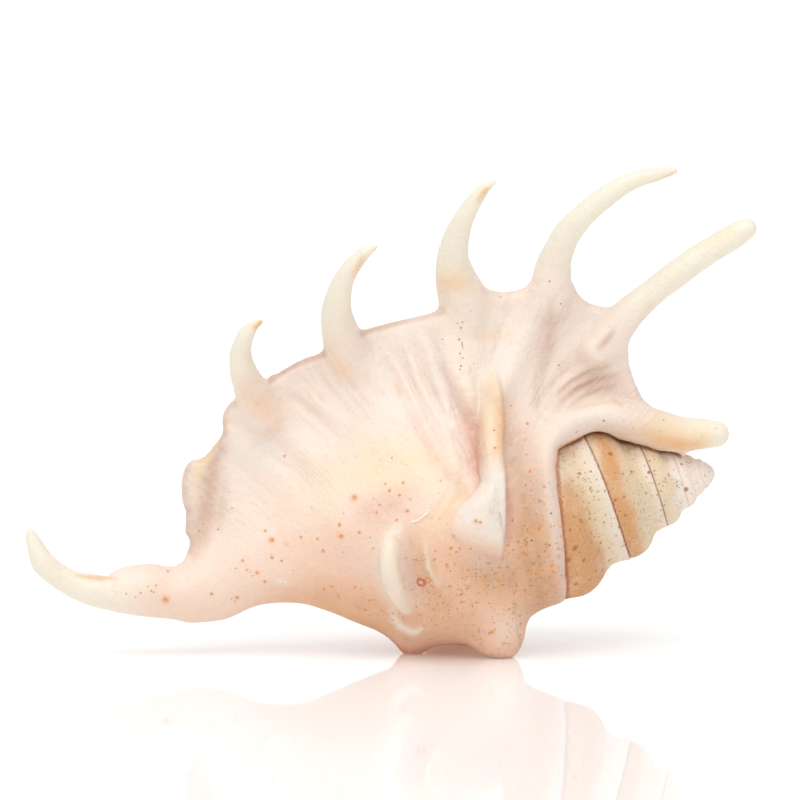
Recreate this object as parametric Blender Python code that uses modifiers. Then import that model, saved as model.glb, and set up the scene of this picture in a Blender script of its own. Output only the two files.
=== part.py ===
"""Spider conch shell, standing on the knobs of its shoulder with the wing of its lip upwards.

The shell is built around its coiling axis. A place on it is given by three lengths in millimetres:
s, how far along the axis it is from the tip of the spire;
v, how far above the axis it is, towards the edge of the lip;
w, how far in front of the axis it is, on the back (dorsal) side of the shell.
shell_point() turns such a place into metres in the world, where Z is up and the back faces -Y.
"""
import math

import bmesh
import bpy
import numpy as np
from mathutils import Vector

MM = 0.001

# --- how the shell stands -----------------------------------------------------------------
APEX = Vector((80.75, 7.7, 44.51))     # tip of the spire
AXIS_TILT = math.radians(11.5)          # the canal end is lower than the spire
AXIS_YAW = math.radians(5.0)            # the canal end is nearer the front

# --- coiling ------------------------------------------------------------------------------
WHORL_GROWTH = 1.754                    # size of a whorl against the one before it
SUTURE_S = 24.1                         # a suture crosses the axis plane here, at SUTURE_ANGLE
SUTURE_ANGLE = math.radians(-109)
SPIRE_LENGTH = 48.0
SPIRE_TIP = (0.15, 0.6)                 # closer sections at the tip
SPIRE_SIZE, SPIRE_FLARE = 1.62, 0.745   # radius of the spire: size times s to the power of flare
SPIRE_WIDEST = 24.6                     # radius of the last early whorl, where the body covers it
# Side of a whorl from one suture to the next: share of the way, and how far it stands out of the cone.
WHORL_SIDE = [(0, -0.03), (0.04, 0), (0.3, -0.05), (0.45, -0.04), (0.6, 0.04), (0.8, 0.05), (0.96, 0.02),
              (1, -0.03)]
BODY_START = 42.0                       # the last whorl covers the spire from here on
BODY_END = 133.0                        # the left edge of the lip
WING_START = 16.0                       # the wing reaches back over the spire to here
WING_END = 45.0                         # and forward into the last whorl
WALL = 4.2                              # thickness of the lip
DEEP_ANGLE = math.radians(-20)          # how far round the aperture's hollow goes
GROOVE_ANGLE = math.radians(112)        # the canal's groove faces up and a little behind
GROOVE_WIDTH = 0.62                     # against the canal's radius
GROOVE_DEPTH = 0.95
GROOVE_RUN_IN, GROOVE_RUN_OUT = 10, 12  # lengths over which it deepens and closes again
INNER_SHARE, INNER_POWER = 0.70, 1.4    # the whorl inside the aperture, against the one outside it
SPREAD_POWER = 2.4                      # how square the bell of the back is

# Last whorl, station by station along the axis: radius in front, below and behind.
FRONT_RADIUS = [(0, 4), (10, 13), (20, 19.5), (30, 24), (42, 26.5), (55, 27.5), (65, 28.3), (75, 28),
                (85, 25), (95, 20.5), (105, 15.5), (115, 12), (124, 9.8), (134, 7.5)]
BELOW_RADIUS = [(42, 23.4), (46, 24), (50, 24.4), (55, 26.4), (62, 28.2), (70, 28.6), (76, 27.8),
                (82, 25.6), (88, 22.6), (95, 18.4), (102, 13.8), (108, 10.4), (115, 8.7), (121, 8.4),
                (128, 9.6), (134, 8)]
BEHIND_RADIUS = [(37, 23), (42, 25.2), (50, 27), (60, 27.4), (70, 26.2), (80, 23.4), (90, 19.2), (100, 15),
                 (110, 11.3), (121, 8.5), (134, 5.5)]

# The wing: its upper edge, its lower edge on the spire, its reach from the axis plane, its spread.
WING_EDGE = [(16, 39), (18, 44.5), (22, 47.5), (26, 52), (31, 57), (36, 56.3), (43, 55.3), (48, 57.5),
             (54, 58.5), (61, 54.7), (70, 53.9), (80, 53.6), (85, 52.5), (92, 49.8), (100, 48.2), (106, 46.4),
             (111, 45), (115, 42.6), (118, 39.5), (119.5, 35.2), (122, 32.4), (124.5, 30.4), (128, 30.2),
             (130, 28.3), (132.5, 22)]
WING_FOOT = [(16, 14), (24, 16), (30, 17), (36, 16), (44, 8)]
EDGE_FRONT = [(16, 4.5), (60, 5), (80, 4.2), (100, 3.6), (133, 3.2)]
SPREAD = [(16, 20), (30, 25), (45, 31), (80, 31), (92, 27), (102, 21), (112, 16), (122, 13), (133, 9)]

# Digits and canal: (s, v, w, radius) from the root to the tip.
CANAL = [(104, -1, 0, 7.2), (112, -1, 0, 7.4), (120, -1, 0.5, 7.6), (126, -1.3, 1, 8), (133, -1.7, 2, 8),
         (140, -0.5, 3, 6.8), (146.5, 1.5, 3.5, 6.8), (150, 2.2, 3.8, 6.1), (153, 2.1, 4, 4.7),
         (158.5, 4.1, 4.5, 4.1), (163, 6.7, 5, 3.4), (166.7, 10.1, 5.5, 3.1), (169.4, 14, 6, 3.0),
         (170.3, 17.6, 6, 2.3), (170.8, 20.4, 6, 1.7), (171, 22.1, 6, 1.2)]
DIGIT_1 = [(34, 21, 14, 4.5), (27, 20.8, 12.5, 4.6), (19.6, 18.3, 9.5, 4.8), (12.5, 14.5, 7, 4.7),
           (6.2, 11.6, 5.5, 4.4), (2.3, 10.9, 5, 4.0), (-1.6, 10.0, 5, 3.4)]
DIGIT_2 = [(24, 37, 5.4, 4.2), (19, 40.5, 5.4, 4.5), (14, 44.4, 5.8, 4.1), (7.5, 48.2, 6.5, 3.5),
           (0, 52.1, 8, 3.5), (-9.4, 56.2, 9, 3.3), (-16.6, 58.7, 10, 3.0), (-19.3, 59.7, 10, 2.6)]
DIGIT_3 = [(33, 51, 5.6, 4.4), (31.4, 56.5, 6.2, 4.9), (30.3, 60.2, 7.4, 4.3), (28.6, 63.6, 9.5, 3.8),
           (25.6, 68, 12.5, 3.4), (21.9, 71.2, 15, 3.0), (15.5, 75, 17, 2.7), (8, 77.7, 18, 2.2),
           (1.6, 78.3, 18, 1.7), (-2.6, 78.2, 18, 0.9)]
DIGIT_4 = [(54.5, 52, 6, 4.8), (54.3, 57.5, 6.8, 5.8), (54.9, 61.9, 8.6, 5.1), (55.1, 66, 11, 4.2),
           (54.3, 70.2, 14, 3.6), (52.8, 74, 17, 3.0), (50.4, 78, 20, 2.4), (47.2, 81.7, 22, 1.9),
           (44.4, 84, 23, 1.3), (42.2, 84.8, 23, 0.7)]
DIGIT_5 = [(85.3, 46, 5.4, 4.4), (85.4, 52, 6.4, 4.9), (85.8, 57, 9.2, 4.3), (85.7, 61, 12.5, 3.7),
           (84.6, 64.7, 15.5, 3.1), (83, 68.2, 18, 2.6), (80.6, 71.2, 20.5, 2.2), (77.8, 73.6, 22, 1.8),
           (75.2, 74.9, 23, 1.1), (74, 75.1, 23, 0.7)]
DIGIT_6 = [(108.5, 37.5, 3.8, 4.4), (109.5, 43, 5.2, 4.5), (110.7, 47.7, 8, 3.8), (111.3, 51.5, 11, 3.2),
           (111.2, 55.2, 13.5, 2.7), (110.2, 58, 16, 2.3), (108.6, 60.6, 18, 1.9), (106.6, 62.2, 19.5, 1.2),
           (105, 62.8, 20, 0.7)]

# The rim of the lip against the spire: (s, v, radius, height above the back).
RIM = [(20, 19, 5, 1.0), (27, 21.6, 5.5, 1.6), (33.5, 22, 5.5, 1.8), (39, 19.6, 5, 1.8), (43, 14.5, 5, 1.6),
       (45, 6, 5, 1.2), (46, -4, 5, 0.6), (46.5, -12, 5, -0.4)]

# Folds of the back, each from a digit's root down to the shoulder: (s, v, height, half width).
FOLD_2 = [(14, 44, 3.0, 5), (18, 38.5, 3.2, 5.5), (24, 34, 2.6, 6), (31, 30.4, 1.6, 6), (38.5, 26.5, 0, 6)]
FOLD_3 = [(30.5, 60, 4.5, 6), (33, 54.5, 4.5, 6.5), (37.5, 48, 4.0, 5.5), (42, 42, 3.6, 5), (46.5, 37, 3.4, 4.5),
          (50, 33.5, 3, 4)]
FOLD_4 = [(54.5, 60, 5, 8), (56.3, 52, 4.2, 8), (57.6, 44, 3.6, 7.5), (58.4, 37, 3.2, 6), (58.8, 31, 1.8, 4.5),
          (58.8, 26, 0, 4)]
FOLD_5 = [(85.5, 54, 4.8, 6.5), (85.3, 47, 3.4, 7), (83.4, 40, 2.2, 7.5), (79.5, 32, 1.2, 8), (75, 24, 0, 8)]
FOLD_6 = [(110.3, 46, 4.4, 5.5), (108.5, 39, 3.2, 6), (105, 32, 2.4, 6.5), (100.5, 25, 1.4, 7), (95, 17, 0, 7)]
FOLD_7 = [(119, 36, 1.4, 3), (113, 30, 2.2, 3.5), (106, 22.5, 1.8, 4), (98, 12, 0.6, 4.5), (94, 6, 0, 4.5)]
FOLDS = (FOLD_2, FOLD_3, FOLD_4, FOLD_5, FOLD_6, FOLD_7)

# Knobs: (s, v, w, radius) along each crest.
KNOB_1 = [(50.6, 36, 13, 3.2), (52.6, 31, 18, 3.4), (54.6, 25.5, 21.6, 3.6), (56.5, 18, 25, 4.2),
          (59.2, 11, 26.8, 5.2), (62, 4.5, 26.6, 6.2), (63, -1, 25.4, 6.2)]
KNOB_2 = [(83.6, 9, 21, 3), (85, 4, 23.6, 3.6), (86, -2, 24.6, 3.9), (86, -8, 23.4, 3.9), (85.8, -14, 20.6, 3.7),
          (84.6, -18.5, 17, 3.6)]
KNOB_A = [(61.3, -18, 12, 9), (61.8, -23.5, 12, 7.8), (62, -27.7, 11.8, 6.2)]
KNOB_B = [(82.6, -17, 7, 7.5), (82.8, -22, 6, 5.8), (83, -25, 5, 4.8)]
KNOB_C = [(71, -15, -12, 9.5), (71.5, -20.5, -15.5, 8), (72, -26, -18, 6.2)]

STATION_STEP = 1.5                      # from one section of the body or canal to the next
WING_STEP, SPIRE_STEP, ROD_STEP = 1.0, 0.8, 1.2
AROUND, UP_THE_WING, ROUND_THE_HOLLOW = 30, 40, 36   # places on a section
ROUND_END = (0.5, 0.8, 0.97)            # where a rod's end has its rings, against its radius
WELD = 0.00001                          # metres; corners closer than this are one
VOXEL = 0.75                            # grid on which the forms are fused into one wall
FAIRING, FAIRING_ROUNDS = 0.5, 5        # how much the fused wall is smoothed
SOLID_TRIANGLES = 9500

SHELL_COLOUR = (0.86, 0.60, 0.47, 1.0)
SHELL_ROUGHNESS = 0.35


# --- places -------------------------------------------------------------------------------
TOWARDS_CANAL = Vector((-math.cos(AXIS_TILT) * math.cos(AXIS_YAW), -math.sin(AXIS_YAW),
                        -math.sin(AXIS_TILT) * math.cos(AXIS_YAW))).normalized()
TOWARDS_LIP = (Vector((0, 0, 1)) - TOWARDS_CANAL * TOWARDS_CANAL.z).normalized()
TOWARDS_BACK = TOWARDS_LIP.cross(TOWARDS_CANAL)


def shell_point(s, v, w):
    """World place, in metres, of a place given along, above and in front of the axis."""
    return (APEX + TOWARDS_CANAL * s + TOWARDS_LIP * v + TOWARDS_BACK * w) * MM


def along(stations, s):
    """Smooth curve through (place, value) stations, read at the places s."""
    places, values = np.array(stations, dtype=float).T
    slopes = np.gradient(values, places)
    s = np.clip(s, places[0], places[-1])
    left = np.clip(np.searchsorted(places, s, side="right") - 1, 0, len(places) - 2)
    step = places[left + 1] - places[left]
    t = (s - places[left]) / step
    return (values[left] * (1 + 2 * t) * (1 - t) ** 2 + slopes[left] * step * t * (1 - t) ** 2
            + values[left + 1] * t ** 2 * (3 - 2 * t) + slopes[left + 1] * step * t ** 2 * (t - 1))


def whorl_radius(s, angle):
    """Radius of the last whorl; the angle runs from behind (-180 degrees) by below (-90) to the front (0)."""
    behind, below, front = along(BEHIND_RADIUS, s), along(BELOW_RADIUS, s), along(FRONT_RADIUS, s)
    lower = np.sin(np.clip(angle, -math.pi, 0)) ** 2
    return np.where(angle < -math.pi / 2, behind, front) * (1 - lower) + below * lower


def inner_radius(s, angle):
    """Radius of the whorl before, which the aperture winds round and which comes out behind."""
    share = (angle - DEEP_ANGLE) / (math.pi - DEEP_ANGLE)
    return along(BEHIND_RADIUS, s) * (INNER_SHARE + (1 - INNER_SHARE) * share ** INNER_POWER)


def fold_height(s, v):
    """Height of the folds: each falls off as exp(-(distance / half width)^2) from its crest line."""
    height = np.zeros(np.broadcast(s, v).shape)
    for fold in FOLDS:
        for (s0, v0, height0, width0), (s1, v1, height1, width1) in zip(fold, fold[1:]):
            length_squared = (s1 - s0) ** 2 + (v1 - v0) ** 2
            t = np.clip(((s - s0) * (s1 - s0) + (v - v0) * (v1 - v0)) / length_squared, 0, 1)
            distance = np.hypot(s - s0 - t * (s1 - s0), v - v0 - t * (v1 - v0))
            crest = height0 + t * (height1 - height0)
            height = np.maximum(height, crest * np.exp(-(distance / (width0 + t * (width1 - width0))) ** 2))
    return height


def back_face(s, v):
    """How far the back of the wing stands in front of the axis plane: a bell that levels out at the edge."""
    edge, top = along(EDGE_FRONT, s), along(FRONT_RADIUS, s)
    return edge + (top - edge) * np.exp(-(np.maximum(v, 0) / along(SPREAD, s)) ** SPREAD_POWER)


def spire_radius(s, angle):
    """Flared cone of the early whorls, each with its own side between the spiral suture's turns."""
    turn = (np.log(np.maximum(s, 0.2) / SUTURE_S) / math.log(WHORL_GROWTH)
            - (angle - SUTURE_ANGLE) / (2 * math.pi)) % 1.0
    step = np.interp(turn, *np.array(WHORL_SIDE).T)
    return np.minimum(SPIRE_SIZE * np.maximum(s, 0) ** SPIRE_FLARE * (1 + step), SPIRE_WIDEST)


# --- forms --------------------------------------------------------------------------------
def add_mesh_object(name, mesh):
    obj = bpy.data.objects.new(name, mesh)
    bpy.context.scene.collection.objects.link(obj)
    return obj


def settle(obj):
    """Puts the mesh that the modifiers make in place of the object's own."""
    evaluated = obj.evaluated_get(bpy.context.evaluated_depsgraph_get())
    made = bpy.data.meshes.new_from_object(evaluated)
    obj.modifiers.clear()
    obj.data = made


def loft(name, sections):
    """Closed solid through closed sections, each a list of (s, v, w) with the same number of places."""
    bm = bmesh.new()
    rings = [[bm.verts.new(shell_point(*place)) for place in section] for section in sections]
    count = len(rings[0])
    for ring, after in zip(rings, rings[1:]):
        for i in range(count):
            j = (i + 1) % count
            bm.faces.new((ring[i], ring[j], after[j], after[i]))
    bm.faces.new(rings[0][::-1])
    bm.faces.new(rings[-1])
    bmesh.ops.recalc_face_normals(bm, faces=bm.faces)
    mesh = bpy.data.meshes.new(name)
    bm.to_mesh(mesh)
    bm.free()
    return add_mesh_object(name, mesh)


def rod(name, places):
    """Round rod through (s, v, w, radius) places, with round ends, as a closed mesh."""
    places = np.array(places, dtype=float)
    steps = np.concatenate(([0], np.cumsum(np.linalg.norm(np.diff(places[:, :3], axis=0), axis=1))))
    reach = np.arange(0, steps[-1], ROD_STEP)
    body = np.stack([along(list(zip(steps, places[:, k])), reach) for k in range(4)], axis=1)
    ends = []
    for end, inner in ((body[0], body[1]), (body[-1], body[-2])):
        outward = (end[:3] - inner[:3]) / np.linalg.norm(end[:3] - inner[:3])
        ends.append([(*(end[:3] + outward * end[3] * t), end[3] * math.sqrt(1 - t * t)) for t in ROUND_END])
    points = ends[0][::-1] + [tuple(p) for p in body] + ends[1]
    curve = bpy.data.curves.new(name, "CURVE")
    curve.dimensions = "3D"
    curve.bevel_depth = MM
    curve.bevel_resolution = 4
    curve.use_fill_caps = True
    spline = curve.splines.new("POLY")
    spline.points.add(len(points) - 1)
    for point, (s, v, w, radius) in zip(spline.points, points):
        point.co = (*shell_point(s, v, w), 1)
        point.radius = radius
    obj = bpy.data.objects.new(name, curve)
    bpy.context.scene.collection.objects.link(obj)
    evaluated = obj.evaluated_get(bpy.context.evaluated_depsgraph_get())
    mesh = bpy.data.meshes.new_from_object(evaluated)
    bpy.data.objects.remove(obj)
    bm = bmesh.new()
    bm.from_mesh(mesh)
    bmesh.ops.remove_doubles(bm, verts=bm.verts, dist=WELD)
    bmesh.ops.recalc_face_normals(bm, faces=bm.faces)
    bm.to_mesh(mesh)
    bm.free()
    return add_mesh_object(name, mesh)


def rim():
    """Rod sunk in the back, so that it stands above the back by each place's height."""
    return rod("rim", [(s, v, float(back_face(s, v)) + height - radius, radius) for s, v, radius, height in RIM])


def canal():
    """Tapering tube, open along a groove that faces up and behind as the aperture does."""
    places = np.array(CANAL, dtype=float)
    steps = np.concatenate(([0], np.cumsum(np.linalg.norm(np.diff(places[:, :3], axis=0), axis=1))))
    reach = np.append(np.arange(0, steps[-1], STATION_STEP), steps[-1])
    path = np.stack([along(list(zip(steps, places[:, k])), reach) for k in range(4)], axis=1)
    tangents = np.gradient(path[:, :3], axis=0)
    opening = np.array([0, math.sin(GROOVE_ANGLE), math.cos(GROOVE_ANGLE)])
    sections = []
    for (s, v, w, radius), tangent, here in zip(path, tangents, reach):
        tangent /= np.linalg.norm(tangent)
        side = np.cross(tangent, opening)
        side /= np.linalg.norm(side)
        up = np.cross(side, tangent)
        depth = GROOVE_DEPTH * min(1.0, here / GROOVE_RUN_IN, (steps[-1] - here) / GROOVE_RUN_OUT)
        mouth = math.asin(GROOVE_WIDTH / 2)
        arc = [(math.cos(a), math.sin(a)) for a in np.linspace(mouth, 2 * math.pi - mouth, 28)]
        arc += [(math.cos(mouth) - depth * math.sin(t), -GROOVE_WIDTH / 2 * math.cos(t))
                for t in np.linspace(0, math.pi, 10)[1:-1]]
        centre = np.array((s, v, w))
        sections.append([tuple(centre + radius * (x * up + y * side)) for x, y in arc])
    return loft("canal", sections)


def last_whorl():
    """Sections across the axis: the outside, the lip up to its edge, the hollow and the whorl inside it."""
    sections = []
    for s in np.arange(BODY_START, BODY_END, STATION_STEP):
        edge = float(along(WING_EDGE, s))
        places = []
        for angle in np.linspace(-math.pi, 0, AROUND, endpoint=False):
            radius = whorl_radius(s, angle)
            places.append((s, radius * math.sin(angle), radius * math.cos(angle)))
        heights = np.linspace(0, edge, UP_THE_WING)
        places += [(s, v, back_face(s, v) + fold_height(s, v)) for v in heights]
        places += [(s, v, back_face(s, v) - WALL) for v in heights[::-1]]
        for angle in np.linspace(0, DEEP_ANGLE, 5)[1:]:
            radius = whorl_radius(s, angle) - WALL
            places.append((s, radius * math.sin(angle), radius * math.cos(angle)))
        for angle in np.linspace(DEEP_ANGLE, math.pi, ROUND_THE_HOLLOW)[:-1]:
            radius = inner_radius(s, angle)
            places.append((s, radius * math.sin(angle), radius * math.cos(angle)))
        sections.append(places)
    return loft("last_whorl", sections)


def wing():
    """The part of the lip that reaches back over the spire."""
    sections = []
    for s in np.arange(WING_START, WING_END, WING_STEP):
        heights = np.linspace(float(along(WING_FOOT, s)), float(along(WING_EDGE, s)), UP_THE_WING)
        sections.append([(s, v, back_face(s, v) + fold_height(s, v)) for v in heights]
                        + [(s, v, back_face(s, v) - WALL) for v in heights[::-1]])
    return loft("wing", sections)


def spire():
    """Early whorls, coiled round the axis."""
    angles = np.linspace(-math.pi, math.pi, 72, endpoint=False)
    sections = []
    for s in np.concatenate((SPIRE_TIP, np.arange(2 * SPIRE_TIP[-1], SPIRE_LENGTH, SPIRE_STEP))):
        radii = spire_radius(s, angles)
        sections.append([(s, r * math.sin(a), r * math.cos(a)) for a, r in zip(angles, radii)])
    return loft("spire", sections)


# --- the shell ----------------------------------------------------------------------------
for old in list(bpy.data.objects):
    bpy.data.objects.remove(old)

forms = [last_whorl(), wing(), spire(), rim(), canal()]
forms += [rod("digit", places) for places in (DIGIT_1, DIGIT_2, DIGIT_3, DIGIT_4, DIGIT_5, DIGIT_6)]
forms += [rod("knob", places) for places in (KNOB_1, KNOB_2, KNOB_A, KNOB_B, KNOB_C)]

bm = bmesh.new()
for form in forms:
    bm.from_mesh(form.data)
    bpy.data.objects.remove(form)
mesh = bpy.data.meshes.new("shell")
bm.to_mesh(mesh)
bm.free()

shell = bpy.data.objects.new("shell", mesh)
collection = bpy.data.collections.new("spider_conch")
bpy.context.scene.collection.children.link(collection)
collection.objects.link(shell)

remesh = shell.modifiers.new("fuse", "REMESH")
remesh.mode = "VOXEL"
remesh.voxel_size = VOXEL * MM
smooth = shell.modifiers.new("fair", "SMOOTH")
smooth.factor = FAIRING
smooth.iterations = FAIRING_ROUNDS

settle(shell)
shell.data.calc_loop_triangles()
decimate = shell.modifiers.new("facets", "DECIMATE")
decimate.ratio = SOLID_TRIANGLES / len(shell.data.loop_triangles)
settle(shell)

bm = bmesh.new()
bm.from_mesh(shell.data)
cut = bmesh.ops.bisect_plane(bm, geom=bm.verts[:] + bm.edges[:] + bm.faces[:], plane_co=(0, 0, 0),
                             plane_no=(0, 0, -1), clear_outer=True, dist=WELD)
cut_edges = [e for e in cut["geom_cut"] if isinstance(e, bmesh.types.BMEdge)]
bmesh.ops.holes_fill(bm, edges=cut_edges)
bmesh.ops.triangulate(bm, faces=bm.faces)
bmesh.ops.recalc_face_normals(bm, faces=bm.faces)
bm.to_mesh(shell.data)
bm.free()
shell.data.shade_smooth()

material = bpy.data.materials.new("shell_wall")
material.use_nodes = True
principled = material.node_tree.nodes["Principled BSDF"]
principled.inputs["Base Color"].default_value = SHELL_COLOUR
principled.inputs["Roughness"].default_value = SHELL_ROUGHNESS
principled.inputs["Metallic"].default_value = 0.0
shell.data.materials.clear()
shell.data.materials.append(material)
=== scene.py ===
"""Spider conch shell with its lip up, resting on the knobs of its shoulder."""
import math

import bpy
import numpy as np
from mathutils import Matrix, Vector
from mathutils.kdtree import KDTree


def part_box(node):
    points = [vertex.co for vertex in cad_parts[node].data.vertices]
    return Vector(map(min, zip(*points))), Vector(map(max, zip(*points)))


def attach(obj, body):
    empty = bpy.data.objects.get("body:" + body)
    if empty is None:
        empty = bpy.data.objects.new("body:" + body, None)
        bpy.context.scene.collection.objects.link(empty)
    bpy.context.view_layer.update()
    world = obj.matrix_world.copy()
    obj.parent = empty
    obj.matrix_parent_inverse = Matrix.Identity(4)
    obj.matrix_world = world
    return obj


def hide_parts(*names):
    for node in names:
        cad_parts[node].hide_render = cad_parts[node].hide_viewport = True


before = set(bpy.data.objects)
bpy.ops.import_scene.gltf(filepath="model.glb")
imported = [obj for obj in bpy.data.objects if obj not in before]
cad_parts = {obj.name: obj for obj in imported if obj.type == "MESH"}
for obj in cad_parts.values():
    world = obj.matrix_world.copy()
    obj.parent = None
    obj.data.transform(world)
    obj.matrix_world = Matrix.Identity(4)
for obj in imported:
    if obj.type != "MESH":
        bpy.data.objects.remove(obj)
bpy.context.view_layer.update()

# ============================================================================================
# The spire: the early whorls of the shell, coiled round a straight axis, each one growing out
# from under the last. Its lime is worn and chalky, with tan bands, and a fine suture between
# whorls. The lip of the last whorl leans against it.
# ============================================================================================
# Places on the shell are (s, v, w) in millimetres: s along the axis from the tip of the spire,
# v up from the axis towards the lip, w out from the axis on the back of the shell.
MM = 0.001
shell_low, shell_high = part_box("shell")
APEX = Vector((shell_high.x / MM - 10.12, shell_low.y / MM + 38.0, shell_low.z / MM + 44.51))
AXIS_TILT = math.radians(11.5)
AXIS_YAW = math.radians(5.0)
TOWARDS_CANAL = Vector((-math.cos(AXIS_TILT) * math.cos(AXIS_YAW), -math.sin(AXIS_YAW),
                        -math.sin(AXIS_TILT) * math.cos(AXIS_YAW))).normalized()
TOWARDS_LIP = (Vector((0, 0, 1)) - TOWARDS_CANAL * TOWARDS_CANAL.z).normalized()
TOWARDS_BACK = TOWARDS_LIP.cross(TOWARDS_CANAL)
SHELL_AXES = np.array([TOWARDS_CANAL, TOWARDS_LIP, TOWARDS_BACK])


def in_frame(places):
    """World metres of (s, v, w) places: the apex plus s, v and w steps along the three axes."""
    return (np.array(APEX) + places @ SHELL_AXES) * MM


def along(stations, t):
    """Smooth value at t: a cubic through (t, value) stations whose slope at each is the mean slope there."""
    places, values = np.array(stations, dtype=float).T
    slopes = np.gradient(values, places)
    t = np.clip(t, places[0], places[-1])
    left = np.clip(np.searchsorted(places, t, side="right") - 1, 0, len(places) - 2)
    step = places[left + 1] - places[left]
    share = (t - places[left]) / step
    return (values[left] * (1 + 2 * share) * (1 - share) ** 2 + slopes[left] * step * share * (1 - share) ** 2
            + values[left + 1] * share ** 2 * (3 - 2 * share)
            + slopes[left + 1] * step * share ** 2 * (share - 1))


def ease(low, high, t):
    """0 at low, 1 at high, 3x^2 - 2x^3 between them, and level beyond."""
    x = np.clip((t - low) / (high - low), 0, 1)
    return x * x * (3 - 2 * x)


def lumps(places, size, seed):
    """Smooth lumps from -1 to 1 of about one size: random numbers on a cubic lattice, eased between its corners."""
    table = np.random.default_rng(seed).uniform(-1, 1, 4096)
    scaled = places / size
    cell = np.floor(scaled).astype(np.int64)
    x = scaled - cell
    x = x * x * (3 - 2 * x)
    total = np.zeros(len(places))
    for corner in np.ndindex(2, 2, 2):
        at = cell + np.array(corner)
        number = table[(at[:, 0] * 1619 + at[:, 1] * 31337 + at[:, 2] * 6971) & 4095]
        total += number * np.prod(np.where(corner, x, 1 - x), axis=1)
    return total


WHORL_GROWTH = 1.754                    # size of a whorl against the one before it
SUTURE_S = 24.1                         # a suture crosses here, SUTURE_ANGLE round from the back
SUTURE_ANGLE = math.radians(-109)
SPIRE_END = 44.8                        # inside the last whorl
SPIRE_ROUND = 384                       # columns round the spire
SPIRE_STEP = 0.25                       # rows along it
# Radius of the spire at the sutures, and between two of them the side of a whorl: its share, height against that.
SUTURE_RADIUS = [(0, 0), (0.2, 0.85), (0.8, 1.75), (1.9, 2.9), (4.6, 4.7), (8.1, 7.2), (14.2, 10.7), (24.8, 16.6),
                 (43.5, 23.2), (47, 23.9)]
WHORL_SIDE = [(0.0, -0.022), (0.02, 0.0), (0.08, -0.02), (0.16, -0.048), (0.25, -0.072), (0.34, -0.076), (0.42, -0.05),
              (0.50, 0.005), (0.58, 0.05), (0.66, 0.07), (0.76, 0.064), (0.86, 0.042), (0.95, 0.014), (0.985, 0.0),
              (1.0, -0.022)]


def whorl_share(s, angle):
    """How many whorls out a place lies: the sutures are a spiral that grows WHORL_GROWTH times a turn."""
    return (np.log(np.maximum(s, 0.15) / SUTURE_S) / math.log(WHORL_GROWTH)
            - (angle - SUTURE_ANGLE) / (2 * math.pi))


def spire_radius(s, angle):
    """Radius of the spire: that at its sutures, times the side of the whorl at that share of it."""
    side = along(WHORL_SIDE, whorl_share(s, angle) % 1.0)
    return along(SUTURE_RADIUS, s) * (1 + side * (1 - 0.5 * np.exp(-s / 8)))


def mesh_piece(name, places, triangles):
    """A smooth mesh at the origin through (s, v, w) places."""
    mesh = bpy.data.meshes.new(name)
    mesh.vertices.add(len(places))
    mesh.vertices.foreach_set("co", in_frame(places).astype(np.float32).ravel())
    mesh.loops.add(triangles.size)
    mesh.loops.foreach_set("vertex_index", triangles.astype(np.int32).ravel())
    mesh.polygons.add(len(triangles))
    mesh.polygons.foreach_set("loop_start", np.arange(0, triangles.size, 3, dtype=np.int32))
    mesh.update(calc_edges=True)
    mesh.shade_smooth()
    piece = bpy.data.objects.new(name, mesh)
    bpy.context.scene.collection.objects.link(piece)
    return piece


def give_masks(piece, masks):
    """A number per vertex for each named mask, which the piece's material reads."""
    for name, values in masks.items():
        piece.data.attributes.new(name, "FLOAT", "POINT").data.foreach_set("value", values.astype(np.float32))


def ring_triangles(rows, columns):
    """Triangles between one ring and the next, and from the end rings to the last two places."""
    here = np.arange(rows * columns).reshape(rows, columns)
    beside = np.roll(here, -1, axis=1)
    sides = np.concatenate((np.stack((here[:-1], beside[:-1], beside[1:]), axis=-1).reshape(-1, 3),
                            np.stack((here[:-1], beside[1:], here[1:]), axis=-1).reshape(-1, 3)))
    tip = np.stack((beside[0], here[0], np.full(columns, rows * columns)), axis=-1)
    foot = np.stack((here[-1], beside[-1], np.full(columns, rows * columns + 1)), axis=-1)
    return np.concatenate((sides, tip, foot))


def spire_mesh():
    """Rings of spire_radius about the axis, with fine lumps, closed at each end by one ring drawn to a point."""
    s = np.concatenate(([0.02, 0.08, 0.18, 0.32], np.arange(0.5, SPIRE_END, SPIRE_STEP)))
    angle = np.linspace(-math.pi, math.pi, SPIRE_ROUND, endpoint=False)
    s, angle = np.meshgrid(s, angle, indexing="ij")
    radius = spire_radius(s, angle)
    places = np.stack((s, radius * np.sin(angle), radius * np.cos(angle)), axis=-1).reshape(-1, 3)
    outward = np.stack((np.zeros(s.size), np.sin(angle).ravel(), np.cos(angle).ravel()), axis=1)
    worn = lumps(places, 2.8, 3) * (0.12 + 0.16 * (1 - ease(8, 18, s.ravel()))) + lumps(places, 1.2, 4) * 0.08
    places += outward * (worn * ease(0.5, 6, s.ravel()))[:, None]
    places = np.concatenate((places, [(0, 0, 0), (SPIRE_END, 0, 0)]))
    share = np.concatenate((whorl_share(s, angle).ravel(), (0, 0)))
    return places, ring_triangles(*s.shape), share


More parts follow.
